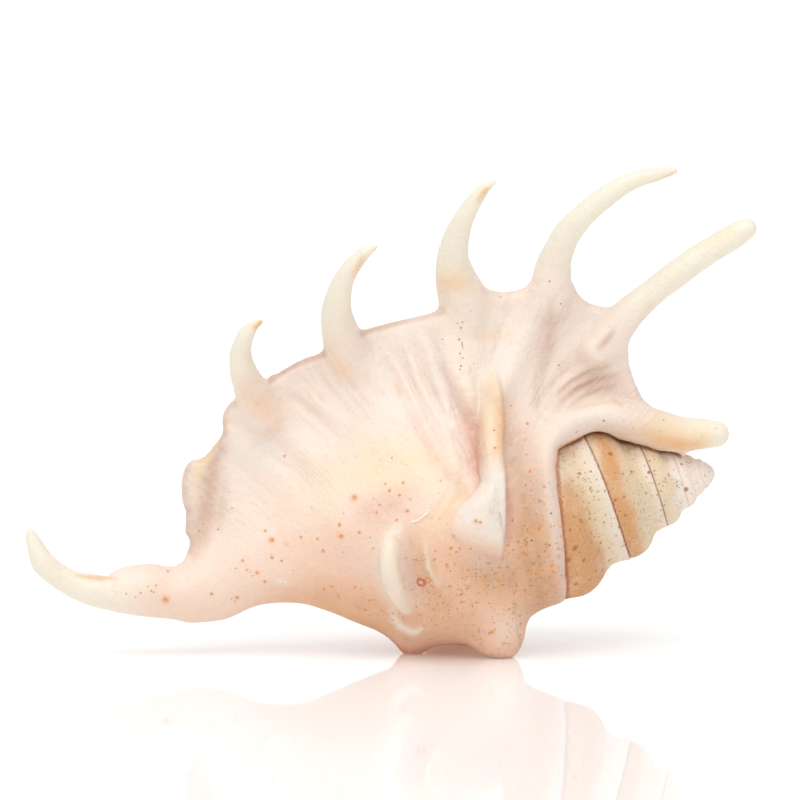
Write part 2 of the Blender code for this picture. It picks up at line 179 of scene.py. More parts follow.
class Socket:
    """An output in a material's nodes. The operators + - * / on it add Math nodes, and node() adds any other."""

    def __init__(self, tree, output=None):
        self.tree = tree
        self.output = output

    def node(self, kind, settings, inputs, output=0):
        """Adds a node: first its settings, then a value or a link for each of the inputs it names."""
        made = self.tree.nodes.new(kind)
        for name, value in settings.items():
            if name == "stops":
                while len(made.color_ramp.elements) < len(value):
                    made.color_ramp.elements.new(1.0)
                for element, (position, colour) in zip(made.color_ramp.elements, value):
                    element.position = position
                    element.color = (*colour, 1)
            else:
                setattr(made, name, value)
        for name, value in inputs.items():
            socket = next(s for s in made.inputs if name in (s.identifier, s.name))
            if isinstance(value, Socket):
                self.tree.links.new(value.output, socket)
            else:
                socket.default_value = value
        outputs = [s for i, s in enumerate(made.outputs) if output in (i, s.identifier)]
        return Socket(self.tree, outputs[0] if outputs else None)

    def math(self, operation, *values):
        return self.node("ShaderNodeMath", {"operation": operation},
                         dict(zip(("Value", "Value_001", "Value_002"), values)))

    def __add__(self, other):
        return self.math("ADD", self, other)

    def __sub__(self, other):
        return self.math("SUBTRACT", self, other)

    def __mul__(self, other):
        return self.math("MULTIPLY", self, other)

    def __truediv__(self, other):
        return self.math("DIVIDE", self, other)

    def __rsub__(self, other):
        return self.math("SUBTRACT", other, self)

    __radd__ = __add__
    __rmul__ = __mul__

    def step(self, low, high):
        """0 where the value is at low, 1 where it is at high, smooth between."""
        return self.node("ShaderNodeMapRange", {"interpolation_type": "SMOOTHSTEP"},
                         {"Value": self, "From Min": low, "From Max": high})

    def clip(self):
        return self.node("ShaderNodeClamp", {}, {"Value": self})

    def blend(self, low, high):
        """The colour low where the value is 0, high where it is 1."""
        colours = {name: colour if isinstance(colour, Socket) else (*colour, 1)
                   for name, colour in (("A_Color", low), ("B_Color", high))}
        return self.node("ShaderNodeMix", {"data_type": "RGBA"}, {"Factor_Float": self, **colours}, "Result_Color")

    def mask(self, name):
        return self.node("ShaderNodeAttribute", {"attribute_name": name}, {}, 2)

    def noise(self, places, size, detail=3.0, roughness=0.55):
        """Noise from 0 to 1 whose lumps are about size millimetres across."""
        return self.node("ShaderNodeTexNoise", {}, {"Vector": places, "Scale": 1 / (size * MM), "Detail": detail,
                                                    "Roughness": roughness})

    def spots(self, places, pitch, radius, share):
        """Round spots, one to a cell of a scattered lattice with that pitch, in the given share of its cells."""
        settings = {"feature": "F1", "distance": "EUCLIDEAN"}
        inputs = {"Vector": places, "Scale": 1 / (pitch * MM), "Randomness": 1.0}
        distance = self.node("ShaderNodeTexVoronoi", settings, inputs, 0)
        colour = self.node("ShaderNodeTexVoronoi", settings, inputs, 1)
        chance = self.node("ShaderNodeSeparateColor", {}, {"Color": colour}, 0)
        size = self.node("ShaderNodeSeparateColor", {}, {"Color": colour}, 1)
        chosen = (share - chance).step(0.0, 0.02)
        return chosen * (1 - (distance / (size * 0.7 + 0.5)).step(0.5 * radius / pitch, 1.3 * radius / pitch))


def new_material(name):
    """A material with an empty set of nodes, and the Socket from which they are made."""
    material = bpy.data.materials.new(name)
    material.use_nodes = True
    material.node_tree.nodes.clear()
    return material, Socket(material.node_tree)


def finish_material(sockets, surface, bumps):
    """A Principled surface with these inputs, under bumps of (height, distance) laid one on another."""
    normal = None
    for height, distance in bumps:
        inputs = {"Height": height, "Distance": distance, "Strength": 1.0}
        if normal is not None:
            inputs["Normal"] = normal
        normal = sockets.node("ShaderNodeBump", {}, inputs)
    shader = sockets.node("ShaderNodeBsdfPrincipled", {}, {**surface, "Normal": normal})
    sockets.node("ShaderNodeOutputMaterial", {}, {"Surface": shader})


LIME_CREAM = (0.83, 0.66, 0.46)
LIME_GREY = (0.76, 0.64, 0.48)
LIME_WHITE = (0.88, 0.78, 0.67)
LIME_OLIVE = (0.56, 0.46, 0.25)
LIME_TAN = (0.68, 0.35, 0.15)
LIME_APEX = (0.93, 0.80, 0.70)
# sutures between the whorls; on the last whorl the same brown is painted shade in the crack at the spire
SUTURE_AND_CREVICE_SHADE_BROWN = (0.32, 0.085, 0.05)
# painted shade: a thin line on the spire where the lip rests on it
CONTACT_SHADE_BROWN = (0.46, 0.14, 0.06)
PIT_BROWN = (0.42, 0.18, 0.07)
PIT_OLIVE = (0.34, 0.20, 0.10)
SPOT_RUST = (0.46, 0.14, 0.045)
# Rusty holes on the whorls of the spire: s, v, radius.
SPIRE_SPOTS = [(26.2, 12, 0.5), (22, 6.4, 0.4), (41.2, -18, 0.5), (42.5, -10.7, 0.6), (40.3, -8, 0.6), (37.5, -17.9, 0.35),
               (38.4, -11.9, 0.45), (35.5, -15.8, 0.3), (40.7, -3.2, 0.3), (37.6, -1.6, 0.3), (31.2, -14.7, 0.4), (27.1, -11.3, 0.35),
               (27.8, 1, 0.35), (8.7, -1.8, 0.5), (12.6, 3, 0.35), (10.4, 8.2, 0.3), (17.5, 5, 0.35), (33.2, -9, 0.3), (28, -6, 0.3), (35, 9, 0.35),
               (8.4, 4.6, 0.3)]


def on_front(mesh_places, s, v):
    """The place in world metres of the mesh's front vertex that lies nearest to (s, v)."""
    away = np.hypot(mesh_places[:, 0] - s, mesh_places[:, 1] - v) + 99 * (mesh_places[:, 2] < 0)
    return tuple(in_frame(mesh_places[np.argmin(away)]))


def spire_material():
    material, lime = new_material("spire_lime")
    places = lime.node("ShaderNodeTexCoord", {}, {}, 3)
    patches = lime.noise(places, 4.0, 4.0, 0.6)
    fine = lime.noise(places, 0.7, 5.0, 0.65)
    colour = (patches.step(0.38, 0.62) * 0.5).blend(LIME_CREAM, LIME_GREY)
    cloud = lime.noise(places, 8.0, 1.5, 0.5)
    tan = lime.mask("tan") * (0.78 + 0.40 * cloud.step(0.30, 0.60) + 0.5 * (patches - 0.5) + 0.3 * (fine - 0.5))
    colour = tan.clip().blend(colour, LIME_TAN)
    dingy = (1 - cloud).step(0.40, 0.66) * (1 - lime.mask("tan")) * (0.2 + 0.6 * patches)
    colour = (dingy * 0.45).clip().blend(colour, LIME_OLIVE)
    colour = (lime.mask("white") * (0.6 + 0.8 * (fine - 0.2))).clip().blend(colour, LIME_WHITE)
    fresh = 1 - 0.7 * lime.mask("apex")
    colour = lime.mask("apex").blend(colour, LIME_APEX)
    colour = (fine.step(0.52, 0.74) * 0.35 * fresh).blend(colour, LIME_TAN)
    colour = ((1 - fine).step(0.52, 0.74) * 0.45).blend(colour, LIME_WHITE)
    rough = lime.mask("rough")
    pits = lime.spots(places, 1.3, 0.26, 0.22 + 0.45 * rough)
    specks = lime.spots(places, 0.7, 0.16, 0.10 + 0.70 * rough * patches)
    blots = lime.spots(places, 3.4, 0.35, 0.35 * rough)
    colour = (pits * 0.55 * fresh).blend(colour, PIT_BROWN)
    colour = (specks * 0.6 * fresh).blend(colour, PIT_OLIVE)
    colour = (blots * 0.6 * fresh).blend(colour, PIT_BROWN)
    nearest = None
    for s, v, radius in SPIRE_SPOTS:
        away = lime.node("ShaderNodeVectorMath", {"operation": "DISTANCE"},
                         {"Vector": places, "Vector_001": on_front(spire_places, s, v)}, "Value") / (radius * MM)
        nearest = away if nearest is None else lime.math("MINIMUM", nearest, away)
    spot = 1 - (nearest + 1.2 * (fine - 0.5)).step(0.7, 1.7)
    colour = (spot * 0.85).blend(colour, SPOT_RUST)
    colour = (lime.mask("suture") * (0.1 + 0.7 * patches + 0.5 * fine)).clip().blend(colour, SUTURE_AND_CREVICE_SHADE_BROWN)
    # painted shade where the lip touches the spire
    colour = (lime.mask("contact") * (0.2 + fine)).clip().blend(colour, CONTACT_SHADE_BROWN)
    holes = lime.math("MAXIMUM", lime.math("MAXIMUM", pits, specks), blots)
    surface = {"Base Color": colour, "Roughness": 0.50 + 0.2 * fine, "Subsurface Weight": 0.12,
               "Subsurface Radius": (1.0, 0.5, 0.3), "Subsurface Scale": 0.002}
    finish_material(lime, surface, [(fine, 0.00035), (patches, 0.0004), (1 - holes, 0.00025)])
    return material


spire_places, spire_triangles, share = spire_mesh()
spire = mesh_piece("spire", spire_places, spire_triangles)
whorl_part = share % 1.0
banding = whorl_part + 0.05 * lumps(spire_places, 6, 8) + 0.02 * lumps(spire_places, 2.2, 18)
spire_s, spire_v = spire_places[:, 0], spire_places[:, 1]
give_masks(spire, {
    "tan": (ease(-0.16, 0.16, banding - 0.63 + 0.23 * ease(26, 34, spire_s))
            * along([(0, 0), (12, 0.03), (19, 0.15), (25, 0.9), (45, 1)], spire_s)
            * (1 - ease(27, 31, spire_s) * ease(5, 11, spire_v))),
    "white": 0.95 * (1 - ease(0.06, 0.30, banding)),
    "rough": 1 - ease(0.45, 0.62, banding) * 0.6,
    "apex": 1 - ease(9, 15, spire_s + 2 * lumps(spire_places, 4, 9)),
    "suture": (1 - ease(0.0, 0.30, np.minimum(whorl_part, 1 - whorl_part) * np.maximum(spire_s, 2) * 0.56))
              * along([(0, 0), (4, 0.05), (7, 0.25), (11, 0.5), (14, 1), (45, 0.85)], spire_s),
})
spire.data.materials.append(spire_material())
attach(spire, "root")
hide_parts("shell")

# ============================================================================================
# The last whorl: one wall of lime that winds once round the axis, opens into the flared lip
# with its digits, and draws out into the canal. Knobs stand on its shoulder. The form is a
# field of distances on a grid, less than nothing inside the wall, and the mesh is its skin.
# ============================================================================================
GRID = 0.5
grid_s = np.arange(-22, 175, GRID, dtype=np.float32)
grid_v = np.arange(-37.5, 88, GRID, dtype=np.float32)
grid_w = np.arange(-31, 36, GRID, dtype=np.float32)

WALL = 4.2                              # thickness of the lip
DEEP_ANGLE = math.radians(-20)          # how far round the aperture's hollow goes
HOLLOW_END = math.radians(-48)          # where the inner whorl and the wall are one again
FRONT_RADIUS = [(0, 4), (10, 13), (20, 19.5), (30, 24), (42, 26.5), (55, 27.5), (65, 28.3), (75, 28),
                (85, 25), (95, 20.5), (105, 15.5), (115, 12), (124, 9.8), (134, 7.5)]
BELOW_RADIUS = [(37, 22.2), (42, 23.1), (46, 23.7), (50, 24.3), (55, 26.2), (62, 28.2), (70, 28.6), (76, 27.8),
                (82, 25.6), (88, 22.6), (95, 18.4), (102, 13.6), (108, 10.2), (115, 8.5), (121, 8.2), (128, 9.6),
                (134, 8.0)]
BEHIND_RADIUS = [(36, 23.6), (42, 24.6), (50, 26.4), (60, 26.9), (70, 26.0), (80, 23.4), (90, 19.2), (100, 15),
                 (110, 11.3), (121, 8.5), (134, 5.5)]
EDGE_FRONT = [(16, 4.5), (60, 5), (80, 4.2), (100, 3.6), (120, 3.4), (128, 2.6), (133, 1.2)]
SPREAD = [(10, 9), (16, 10.5), (20, 12.2), (30, 17.5), (36, 23.5), (45, 30), (80, 31), (92, 27), (102, 21), (112, 16),
          (122, 13), (133, 9)]
# Where the last whorl begins on the spire: angle round the axis, s.
START = [(-180, 37.8), (-109, 42.3), (-75, 44.2), (-45, 44.0), (0, 42.5), (40, 40), (90, 37), (180, 37.8)]

# Outline of the lip, (s, v): its free edge from the canal round to digit 1, then where it meets the spire.
LIP_EDGE = [(134.8, -12), (134.5, 6), (133.5, 8), (132.6, 11), (133, 14.4), (131.8, 18.4), (132.1, 22.2),
            (131.6, 25.4), (130.8, 27.5), (129.5, 29), (128, 30.7), (126.4, 30.1), (124.4, 30.5), (122.2, 32.6),
            (120.8, 34), (119.1, 35.4), (118.7, 38.2), (118.1, 40.3), (116.7, 42), (114.7, 42.7), (111.3, 44.6),
            (106, 46.4), (98.3, 48.9), (90.3, 50.4), (85.7, 51.9), (80.3, 53.7), (73.9, 54), (63.6, 54.4),
            (60.9, 54.7), (55.5, 56.1), (49.5, 58.3), (47.2, 57.3), (43.7, 55.7), (39.9, 55.5), (36.4, 56.2),
            (30.8, 56.4), (26.1, 53.8), (25, 50.8), (22.9, 48.4), (20, 47), (17.6, 45.4), (16.6, 40.3),
            (15.8, 35.2), (16.2, 31.3), (15.6, 26.6), (14.6, 22.6), (12.9, 20), (9.6, 16)]
SPIRE_CONTACT = [(9.6, 16), (7.4, 11), (7.4, 6.5), (8.3, 8.1), (9.5, 9), (13.1, 9.4), (14.7, 10.1), (16.2, 11.4),
                 (18.3, 12.1), (21.2, 13.2), (23.3, 13.9), (24.9, 15.3), (25.8, 16.8), (27.5, 17.4),
                 (29.7, 17.4), (32.5, 16.9), (36.2, 16.4), (38.9, 16), (40.6, 12.3), (41.8, 6.6), (42.5, 0.2),
                 (42.5, -12)]

# Folds of the back, each from a digit's root down to the shoulder: (s, v, height, half width).
FOLDS = [
    [(14, 44, 3.0, 5), (18, 38.5, 3.0, 5), (24, 34, 2.0, 5), (31, 30.4, 1.1, 5), (38.5, 26.5, 0, 5)],
    [(30.5, 60, 4.0, 6.5), (33, 54.5, 3.8, 6.5), (37.5, 48, 3.4, 5.5), (42, 42, 3.2, 4.8), (46.5, 37, 3.2, 4.2),
     (50, 33.5, 3, 3.5)],
    [(54.5, 60, 4.0, 9), (56.3, 52, 3.2, 9), (57.6, 44, 2.9, 8), (58.4, 37, 2.6, 5.5), (58.8, 31, 2.3, 3.2),
     (58.8, 28, 0, 2)],
    [(85.5, 54, 4.2, 7), (85.3, 47, 3.0, 7), (83.4, 40, 2.0, 7.5), (79.5, 32, 1.1, 7.5), (75, 24, 0, 7)],
    [(110.3, 46, 4.2, 5.5), (108.5, 39, 3.2, 5.8), (105, 32, 2.4, 6.2), (100.5, 25, 1.5, 6.5), (95, 17, 0, 7)],
    [(120, 37, 1.0, 3), (114, 31, 2.0, 4), (107, 23, 1.8, 5), (99, 12, 0.8, 6), (94, 6, 0, 6)],
]
# Long narrow ridges of the lip and the lines of growth between the knobs, in the same way.
STREAKS = [
    [(91.8, 46.8, 0.2, 0.7), (90.3, 43.3, 0.4, 0.7), (88.9, 39.2, 0.1, 0.7)],
    [(87.9, 43.3, 0.3, 0.7), (86.3, 40.1, 0.5, 0.7), (84.8, 37.6, 0.5, 0.7), (83.5, 34.4, 0.4, 0.7), (81.5, 30.7, 0.2, 0.7)],
    [(89.7, 41.4, 0.2, 0.8), (87.7, 38.8, 0.4, 0.8), (85.4, 34.7, 0.2, 0.8)],
    [(99.7, 44.5, 0.3, 1.6), (95.6, 40.1, 0.5, 1.6), (92, 36, 0.5, 1.4), (89.2, 32.1, 0.3, 1.4)],
    [(99.2, 37, 0.2, 0.8), (96.3, 33.5, 0.5, 0.8), (93.7, 30.6, 0.5, 0.8), (91.5, 27.4, 0.2, 0.8)],
    [(74.8, 47.9, 0.2, 0.9), (73, 41.3, 0.5, 1.0), (71.8, 36.9, 0.6, 1.0), (70.1, 31.8, 0.4, 1.0), (68.9, 26.9, 0.2, 1.0)],
    [(71.1, 50.9, 0.3, 1.1), (69.6, 43.8, 0.8, 1.2), (69.2, 39.3, 0.8, 1.2), (67.8, 34.7, 0.8, 1.1), (66.4, 28.7, 0.6, 1.0),
     (64.3, 25, 0.2, 1.0)],
    [(66.4, 49.5, 0.4, 1.2), (65.5, 45.6, 0.8, 1.2), (65.2, 41.5, 0.8, 1.2), (64.9, 37.3, 0.8, 1.1), (64.6, 33.6, 0.7, 1.0),
     (63.5, 29.8, 0.6, 1.0), (62.5, 26, 0.3, 1.0)],
    [(63.6, 42.1, 0.2, 0.9), (64, 37.2, 0.4, 0.9), (63.3, 32.9, 0.4, 0.9), (61.9, 28.2, 0.2, 0.9)],
    [(79.5, 36.6, 0.1, 0.8), (73.5, 25.9, 0.3, 0.9), (69.3, 18.1, 0.3, 0.9), (69.2, 13.3, 0.3, 0.9), (73.9, 9.4, 0.3, 0.9),
     (79.4, 6.7, 0.1, 0.9)],
    [(67.6, 31.8, 0.1, 0.8), (65.1, 24.2, 0.3, 0.9), (65, 17.2, 0.35, 0.9), (67.8, 11.8, 0.3, 0.9), (72, 7.6, 0.2, 0.9)],
    [(116.9, 36.4, 0.3, 1.0), (110.9, 32.1, 0.6, 1.0), (106.3, 27.4, 0.6, 1.0), (102.5, 22.6, 0.2, 1.0)],
    [(34.9, 29.9, 0.2, 0.9), (29.1, 32.1, 0.5, 0.9), (23.8, 34.3, 0.5, 0.9), (17.8, 36, 0.2, 0.9)],
    [(36.7, 27, 0.2, 0.8), (31.8, 29.1, 0.5, 0.8), (26.8, 30.2, 0.5, 0.8), (21, 30.8, 0.4, 0.8), (16.8, 30.8, 0.1, 0.8)],
    [(33.2, 26.1, 0.2, 0.7), (28.7, 27.3, 0.4, 0.7), (24.6, 27.6, 0.4, 0.7), (19, 27.4, 0.1, 0.7)],
    [(79.0, 2, 0.1, 0.7), (79.5, -4, 0.3, 0.7), (78.5, -10, 0.1, 0.7)],
    [(76.9, 1.2, 0.2, 0.6), (77.2, -4.6, 0.5, 0.6), (75.6, -9.4, 0.2, 0.6)],
    [(87.6, -14.4, 0.5, 1.1), (87.2, -17.1, 1.0, 1.2), (86.2, -19.3, 1.2, 1.2), (84.4, -20.8, 1.3, 1.2),
     (82.8, -21.8, 1.3, 1.2), (81.3, -20.7, 0.6, 1.1)],
]
# Furrows between them, with their depth, and the hollows of the back.
FURROWS = [
    [(101.9, 42.5, 0.2, 1.0), (98.3, 39.1, 0.6, 1.1), (95.2, 34.8, 0.7, 1.2), (92.9, 30.7, 0.6, 1.1), (90.4, 27, 0.2, 1.1)],
    [(95.7, 41.9, 0.2, 0.9), (93.3, 39, 0.4, 0.9), (91, 36.1, 0.2, 0.9)],
    [(92.2, 44.4, 0.2, 0.8), (90.6, 40.5, 0.5, 0.8), (89.1, 38.3, 0.2, 0.8)],
    [(86.6, 43.5, 0.2, 0.7), (84.6, 39.6, 0.4, 0.7), (82.9, 36.5, 0.3, 0.7)],
    [(76.2, 45.2, 0.3, 1.0), (74.1, 40.1, 0.6, 1.1), (73.5, 35.4, 0.5, 1.0), (71.9, 29.1, 0.4, 1.0), (70.7, 24.2, 0.2, 1.0)],
    [(71.8, 46.9, 0.3, 0.8), (71.3, 41.7, 0.7, 0.9), (70.6, 37.7, 0.8, 0.9), (69.3, 32.6, 0.7, 0.9), (67.7, 26.7, 0.5, 0.9),
     (66.5, 22.5, 0.2, 0.9)],
    [(68.4, 47.9, 0.3, 0.7), (68, 43.6, 0.6, 0.7), (67.4, 39.2, 0.6, 0.7), (66.6, 35.4, 0.5, 0.7), (65.7, 31, 0.2, 0.7)],
    [(63, 44, 0.1, 1.2), (62.2, 39.5, 0.6, 1.3), (61.8, 35.1, 0.8, 1.3), (61.4, 31.2, 0.8, 1.3), (60.8, 27.6, 0.4, 1.2)],
    [(109.8, 38.5, 0.3, 2.0), (107.7, 34.1, 0.5, 2.0), (104.6, 29, 0.5, 2.0), (101.4, 22.5, 0.2, 2.0)],
    [(40.3, 28.9, 0.2, 1.5), (35.2, 33, 0.4, 1.5), (29.6, 35.8, 0.4, 1.5), (25.2, 37.9, 0.1, 1.5)],
    [(33.8, 52.3, 0.1, 1.3), (36.6, 45.1, 0.3, 1.4), (39.7, 40.7, 0.25, 1.3), (43.3, 34, 0.1, 1.2)],
    [(34.5, 25.9, 0.2, 1.6), (27.2, 26.4, 0.25, 1.8), (20.6, 25.6, 0.1, 1.6)],
    [(18.2, 41, 0.1, 0.9), (20.9, 39.4, 0.5, 0.9), (24.2, 37.4, 0.1, 0.9)],
    [(82.3, 4, 0.1, 1.6), (82.2, -2, 0.7, 1.8), (81.6, -9, 0.8, 1.8), (80.4, -15, 0.2, 1.6)],
    [(78, 1, 0.1, 0.8), (78.3, -5, 0.4, 0.8), (77, -11, 0.1, 0.8)],
    [(72.5, -4, 0.1, 3), (66, -8, 0.5, 3), (60, -9, 0.2, 3)],
]
HOLLOWS = [
    [(61, 37, 0, 3), (61.5, 30, 1.5, 3.4), (61.6, 24, 1.9, 3.2), (60.5, 17, 1.0, 2.6), (60, 13, 0, 2.5)],
    [(49, 29, 0, 4), (48, 20, 1.6, 4.5), (49, 10, 1.8, 5), (50, 0, 1.4, 5), (51, -1, 1.2, 5)],
    [(20, 30, 0.2, 4), (27, 28.5, 0.6, 4), (34, 28.5, 0.7, 4), (41, 25.5, 0.8, 4), (46, 20, 0.7, 4)],
    [(114.5, 40, 0, 3), (112.5, 35, 0.8, 3), (109, 29, 0.9, 3.2), (103, 21, 0.5, 3.5), (98, 15, 0, 3.5)],
    [(70, 50, 0, 4), (68.5, 42, 0.8, 4), (66, 34, 1.2, 4), (64, 27, 0.8, 3.5), (64, 22, 0, 3)],
]
RIM = [[(14, 16, 0, 4), (19.5, 19.5, 0.9, 3.6), (26.9, 22.4, 1.4, 3.4), (33.5, 22.8, 1.6, 3.4),
        (38.8, 20.2, 1.5, 3.4), (42, 15.1, 1.0, 3.2), (44.2, 5.4, 0.4, 2.8), (44.6, -2, 0.2, 2.6),
        (44.8, -10, 0, 2)]]


# Knob 1, a boot-shaped boss: v, s of its right edge, s of its left edge, height, how wide its left side slopes.
KNOB_1 = [(40, 50.2, 53.6, 0, 1.6), (37.5, 49.8, 54.2, 1.2, 1.8), (33.5, 49.9, 55, 3.2, 2.2), (29, 50.3, 56.6, 4.6, 2.8),
          (25.2, 51.2, 58.3, 5, 3.2), (20.7, 52.6, 59.6, 5.2, 3.4), (16, 53.4, 60.3, 5.2, 3.6), (13, 54, 60.9, 5.2, 4),
          (11, 54.4, 63.6, 5.2, 5.5), (8.5, 55, 67.8, 5, 8), (6, 55.5, 69.6, 4.6, 9), (2.8, 56.2, 70.4, 4, 9.5),
          (-0.3, 57, 68.4, 3.2, 9), (-2.5, 57.6, 65.5, 2.4, 7), (-5, 58.3, 62.6, 1.4, 4), (-7.5, 59, 60.6, 0, 2)]
KNOB_1_RIGHT = 1.2                      # how wide its right side is rounded

# Rods, (s, v, w, radius) from root to tip, and over how much each one is merged with the wall.
CANAL = [(104, -1, 0, 5.2), (112, -1, 0, 5.8), (120, -1, 0.5, 6.2), (126, -1.3, 1, 7.6), (133, -1.7, 2, 7.9),
         (140, -0.5, 3, 6.7), (146.5, 1.6, 3.5, 6.7), (150, 2.2, 3.8, 6.0), (153, 2.1, 4, 4.6),
         (158.5, 4.1, 4.5, 4.0), (163, 6.7, 5, 3.3), (166.7, 10.1, 5.5, 3.0), (169.4, 14, 6, 2.9),
         (170.2, 17.6, 6, 2.2), (170.7, 20.4, 6, 1.6), (170.85, 21.8, 6, 1.1)]
DIGITS = {
    "1": [(34, 21, 12, 2.8), (27, 21, 10.6, 3.5), (19.6, 18.3, 8.6, 4.6), (12.5, 14.5, 6.6, 4.7),
          (6.2, 11.6, 5.5, 4.3), (2.3, 10.9, 5, 3.9), (-1.6, 10.0, 5, 3.3)],
    "2": [(24, 37, 5.4, 4.2), (19, 40.5, 5.4, 4.5), (14, 44.4, 5.8, 4.0), (7.5, 48.2, 6.5, 3.4),
          (0, 52.1, 8, 3.4), (-9.4, 56.2, 9, 3.2), (-16.4, 58.7, 10, 3.0), (-18.4, 59.5, 10, 2.6)],
    "3": [(33, 51, 5.6, 4.4), (31.4, 56.5, 6.2, 4.9), (30.3, 60.2, 7.4, 4.3), (28.6, 63.6, 9.5, 3.8),
          (25.6, 68, 12.5, 3.4), (21.9, 71.2, 15, 3.0), (15.5, 75, 17, 2.7), (8, 77.7, 18, 2.2),
          (1.6, 78.1, 18, 1.7), (-2.6, 78.0, 18, 0.9)],
    "4": [(54.5, 52, 6, 4.8), (54.3, 57.5, 6.8, 5.8), (54.9, 61.9, 8.6, 5.1), (55.1, 66, 11, 4.2),
          (54.3, 70.2, 14, 3.6), (52.8, 74, 17, 3.0), (50.4, 78, 20, 2.4), (47.2, 81.7, 22, 1.9),
          (44.4, 84, 23, 1.3), (42.2, 84.8, 23, 0.7)],
    "5": [(85.3, 46, 5.4, 4.4), (85.4, 52, 6.4, 4.9), (85.8, 57, 9.2, 4.3), (85.7, 61, 12.5, 3.7),
          (84.6, 64.7, 15.5, 3.1), (83, 68.2, 18, 2.6), (80.6, 71.2, 20.5, 2.2), (77.8, 73.6, 22, 1.8),
          (75.2, 74.9, 23, 1.1), (74, 75.1, 23, 0.7)],
    "6": [(108.5, 37.5, 3.8, 4.4), (109.5, 43, 5.2, 4.5), (110.7, 47.7, 8, 3.8), (111.3, 51.5, 11, 3.2),
          (111.2, 55.2, 13.5, 2.7), (110.2, 58, 16, 2.3), (108.6, 60.6, 18, 1.9), (106.6, 62.2, 19.5, 1.2),
          (105, 62.8, 20, 0.7)],
}
DIGIT_BLEND = 2.6
KNOB_2 = [(82.5, 6.6, 22.6, 0.8), (84.1, 4.2, 23.8, 1.5), (85.6, 1.4, 24.9, 2.1), (86.4, -1.8, 25.3, 2.4),
          (86.6, -5, 25.2, 2.5), (86.1, -9, 24.2, 2.3), (85.1, -12.4, 22.2, 1.8), (84.3, -14.4, 20.6, 1.1)]
KNOB_A = [(63.4, -17, 12, 9.4), (63.2, -22, 12, 8.4), (62.2, -26.4, 11.8, 6.6), (61.6, -28.6, 11.6, 4.9)]
KNOB_B = [(82.6, -17, 6, 7.3), (82.8, -22, 4.5, 5.4), (83, -25, 3, 4.2)]
KNOB_C = [(67, -24.8, -2, 5.2), (65.5, -25.4, -8, 5.8), (65.5, -26, -13, 5.9), (69, -24, -16, 7.2),
          (72, -26, -18, 6.2)]
GROOVE_ANGLE = math.radians(112)        # the canal's groove faces up and a little behind


def crests(lines, s, v):
    """Height of ridges: along each line of (s, v, height, half width), height times exp(-(distance / half width)^2)."""
    total = np.zeros(np.broadcast(s, v).shape)
    for line in lines:
        height = np.zeros_like(total)
        for (s0, v0, height0, width0), (s1, v1, height1, width1) in zip(line, line[1:]):
            t = ((s - s0) * (s1 - s0) + (v - v0) * (v1 - v0)) / ((s1 - s0) ** 2 + (v1 - v0) ** 2)
            t = np.clip(t, 0, 1)
            distance = np.hypot(s - s0 - t * (s1 - s0), v - v0 - t * (v1 - v0))
            here = (height0 + t * (height1 - height0)) * np.exp(-(distance / (width0 + t * (width1 - width0))) ** 2)
            height = np.maximum(height, here)
        total = np.maximum(total, height)
    return total


def to_line(line, s, v):
    """Distance from a place to the nearest of the straight stretches between a line's (s, v) points."""
    nearest = np.full(np.broadcast(s, v).shape, 1e9)
    for (s0, v0), (s1, v1) in zip(line, line[1:]):
        t = np.clip(((s - s0) * (s1 - s0) + (v - v0) * (v1 - v0)) / ((s1 - s0) ** 2 + (v1 - v0) ** 2), 0, 1)
        nearest = np.minimum(nearest, np.hypot(s - s0 - t * (s1 - s0), v - v0 - t * (v1 - v0)))
    return nearest


def inside(outline, s, v):
    """Whether a place lies within a closed outline: a ray from it crosses the outline an odd number of times."""
    odd = np.zeros(np.broadcast(s, v).shape, dtype=bool)
    for (s0, v0), (s1, v1) in zip(outline, outline[1:] + outline[:1]):
        if v0 != v1:
            odd ^= ((v0 > v) != (v1 > v)) & (s < (s1 - s0) * (v - v0) / (v1 - v0) + s0)
    return odd


def merge(a, b, blend):
    """The lesser of two distances, with the corner between them filled over the blend length."""
    near = np.maximum(blend - np.abs(a - b), 0) / blend
    return np.minimum(a, b) - near * near * blend / 4


def boss(s, v):
    """Height of knob 1: its height at v, times a quarter round up from its right edge and from its left edge."""
    rows = np.array(KNOB_1, dtype=float)[::-1]
    right, left, height, slope = (along(list(zip(rows[:, 0], rows[:, k])), v) for k in (1, 2, 3, 4))
    from_right = np.clip((s - right) / KNOB_1_RIGHT, 0, 1)
    from_left = np.clip((left - s) / slope, 0, 1)
    return height * np.sqrt(1 - (1 - from_right) ** 2) * (1 - (1 - from_left) ** 2) ** 0.8


def whorl_radius(s, angle):
    """Radius of the last whorl; the angle runs from behind (-180 degrees) by below (-90) to the front (0)."""
    behind, below, front = along(BEHIND_RADIUS, s), along(BELOW_RADIUS, s), along(FRONT_RADIUS, s)
    lower = np.sin(np.clip(angle, -math.pi, 0)) ** 2
    return np.where(angle < -math.pi / 2, behind, front) * (1 - lower) + below * lower


def relief(s, v):
    """How much stands out of the smooth back: its ridges less its furrows and hollows, and knob 1."""
    raised = crests(RIM, s, v) + crests(STREAKS, s, v) - crests(FURROWS, s, v) - crests(HOLLOWS, s, v)
    knob = boss(s, v)
    return raised * (1 - ease(0.5, 2.5, knob)) + knob


def bell(s, v):
    """How far the lip stands in front of the axis plane, without its relief: it levels out at the edge."""
    edge, top = along(EDGE_FRONT, s), along(FRONT_RADIUS, s)
    return edge + (top - edge) * np.exp(-(np.maximum(v, 0) / along(SPREAD, s)) ** 2.4)


def back_face(s, v):
    """How far the back of the lip stands in front of the axis plane: the bell, its folds, relief and wrinkles."""
    return bell(s, v) + crests(FOLDS, s, v) * (1 - crests(RIM, s, v) / 2) + relief(s, v) + wrinkles(s, v)


# How the wrinkles of the lip fan out: s where each one passes WRINKLE_V, and its slope.
WRINKLE_V = 40
WRINKLE_FAN = [(6, 2.0), (14, 1.6), (30, 1.1), (43, 0.62), (57, 0.03), (70, -0.28), (83, -0.40), (100, -0.58), (110, -0.66),
               (119, -0.75), (131, -0.8)]
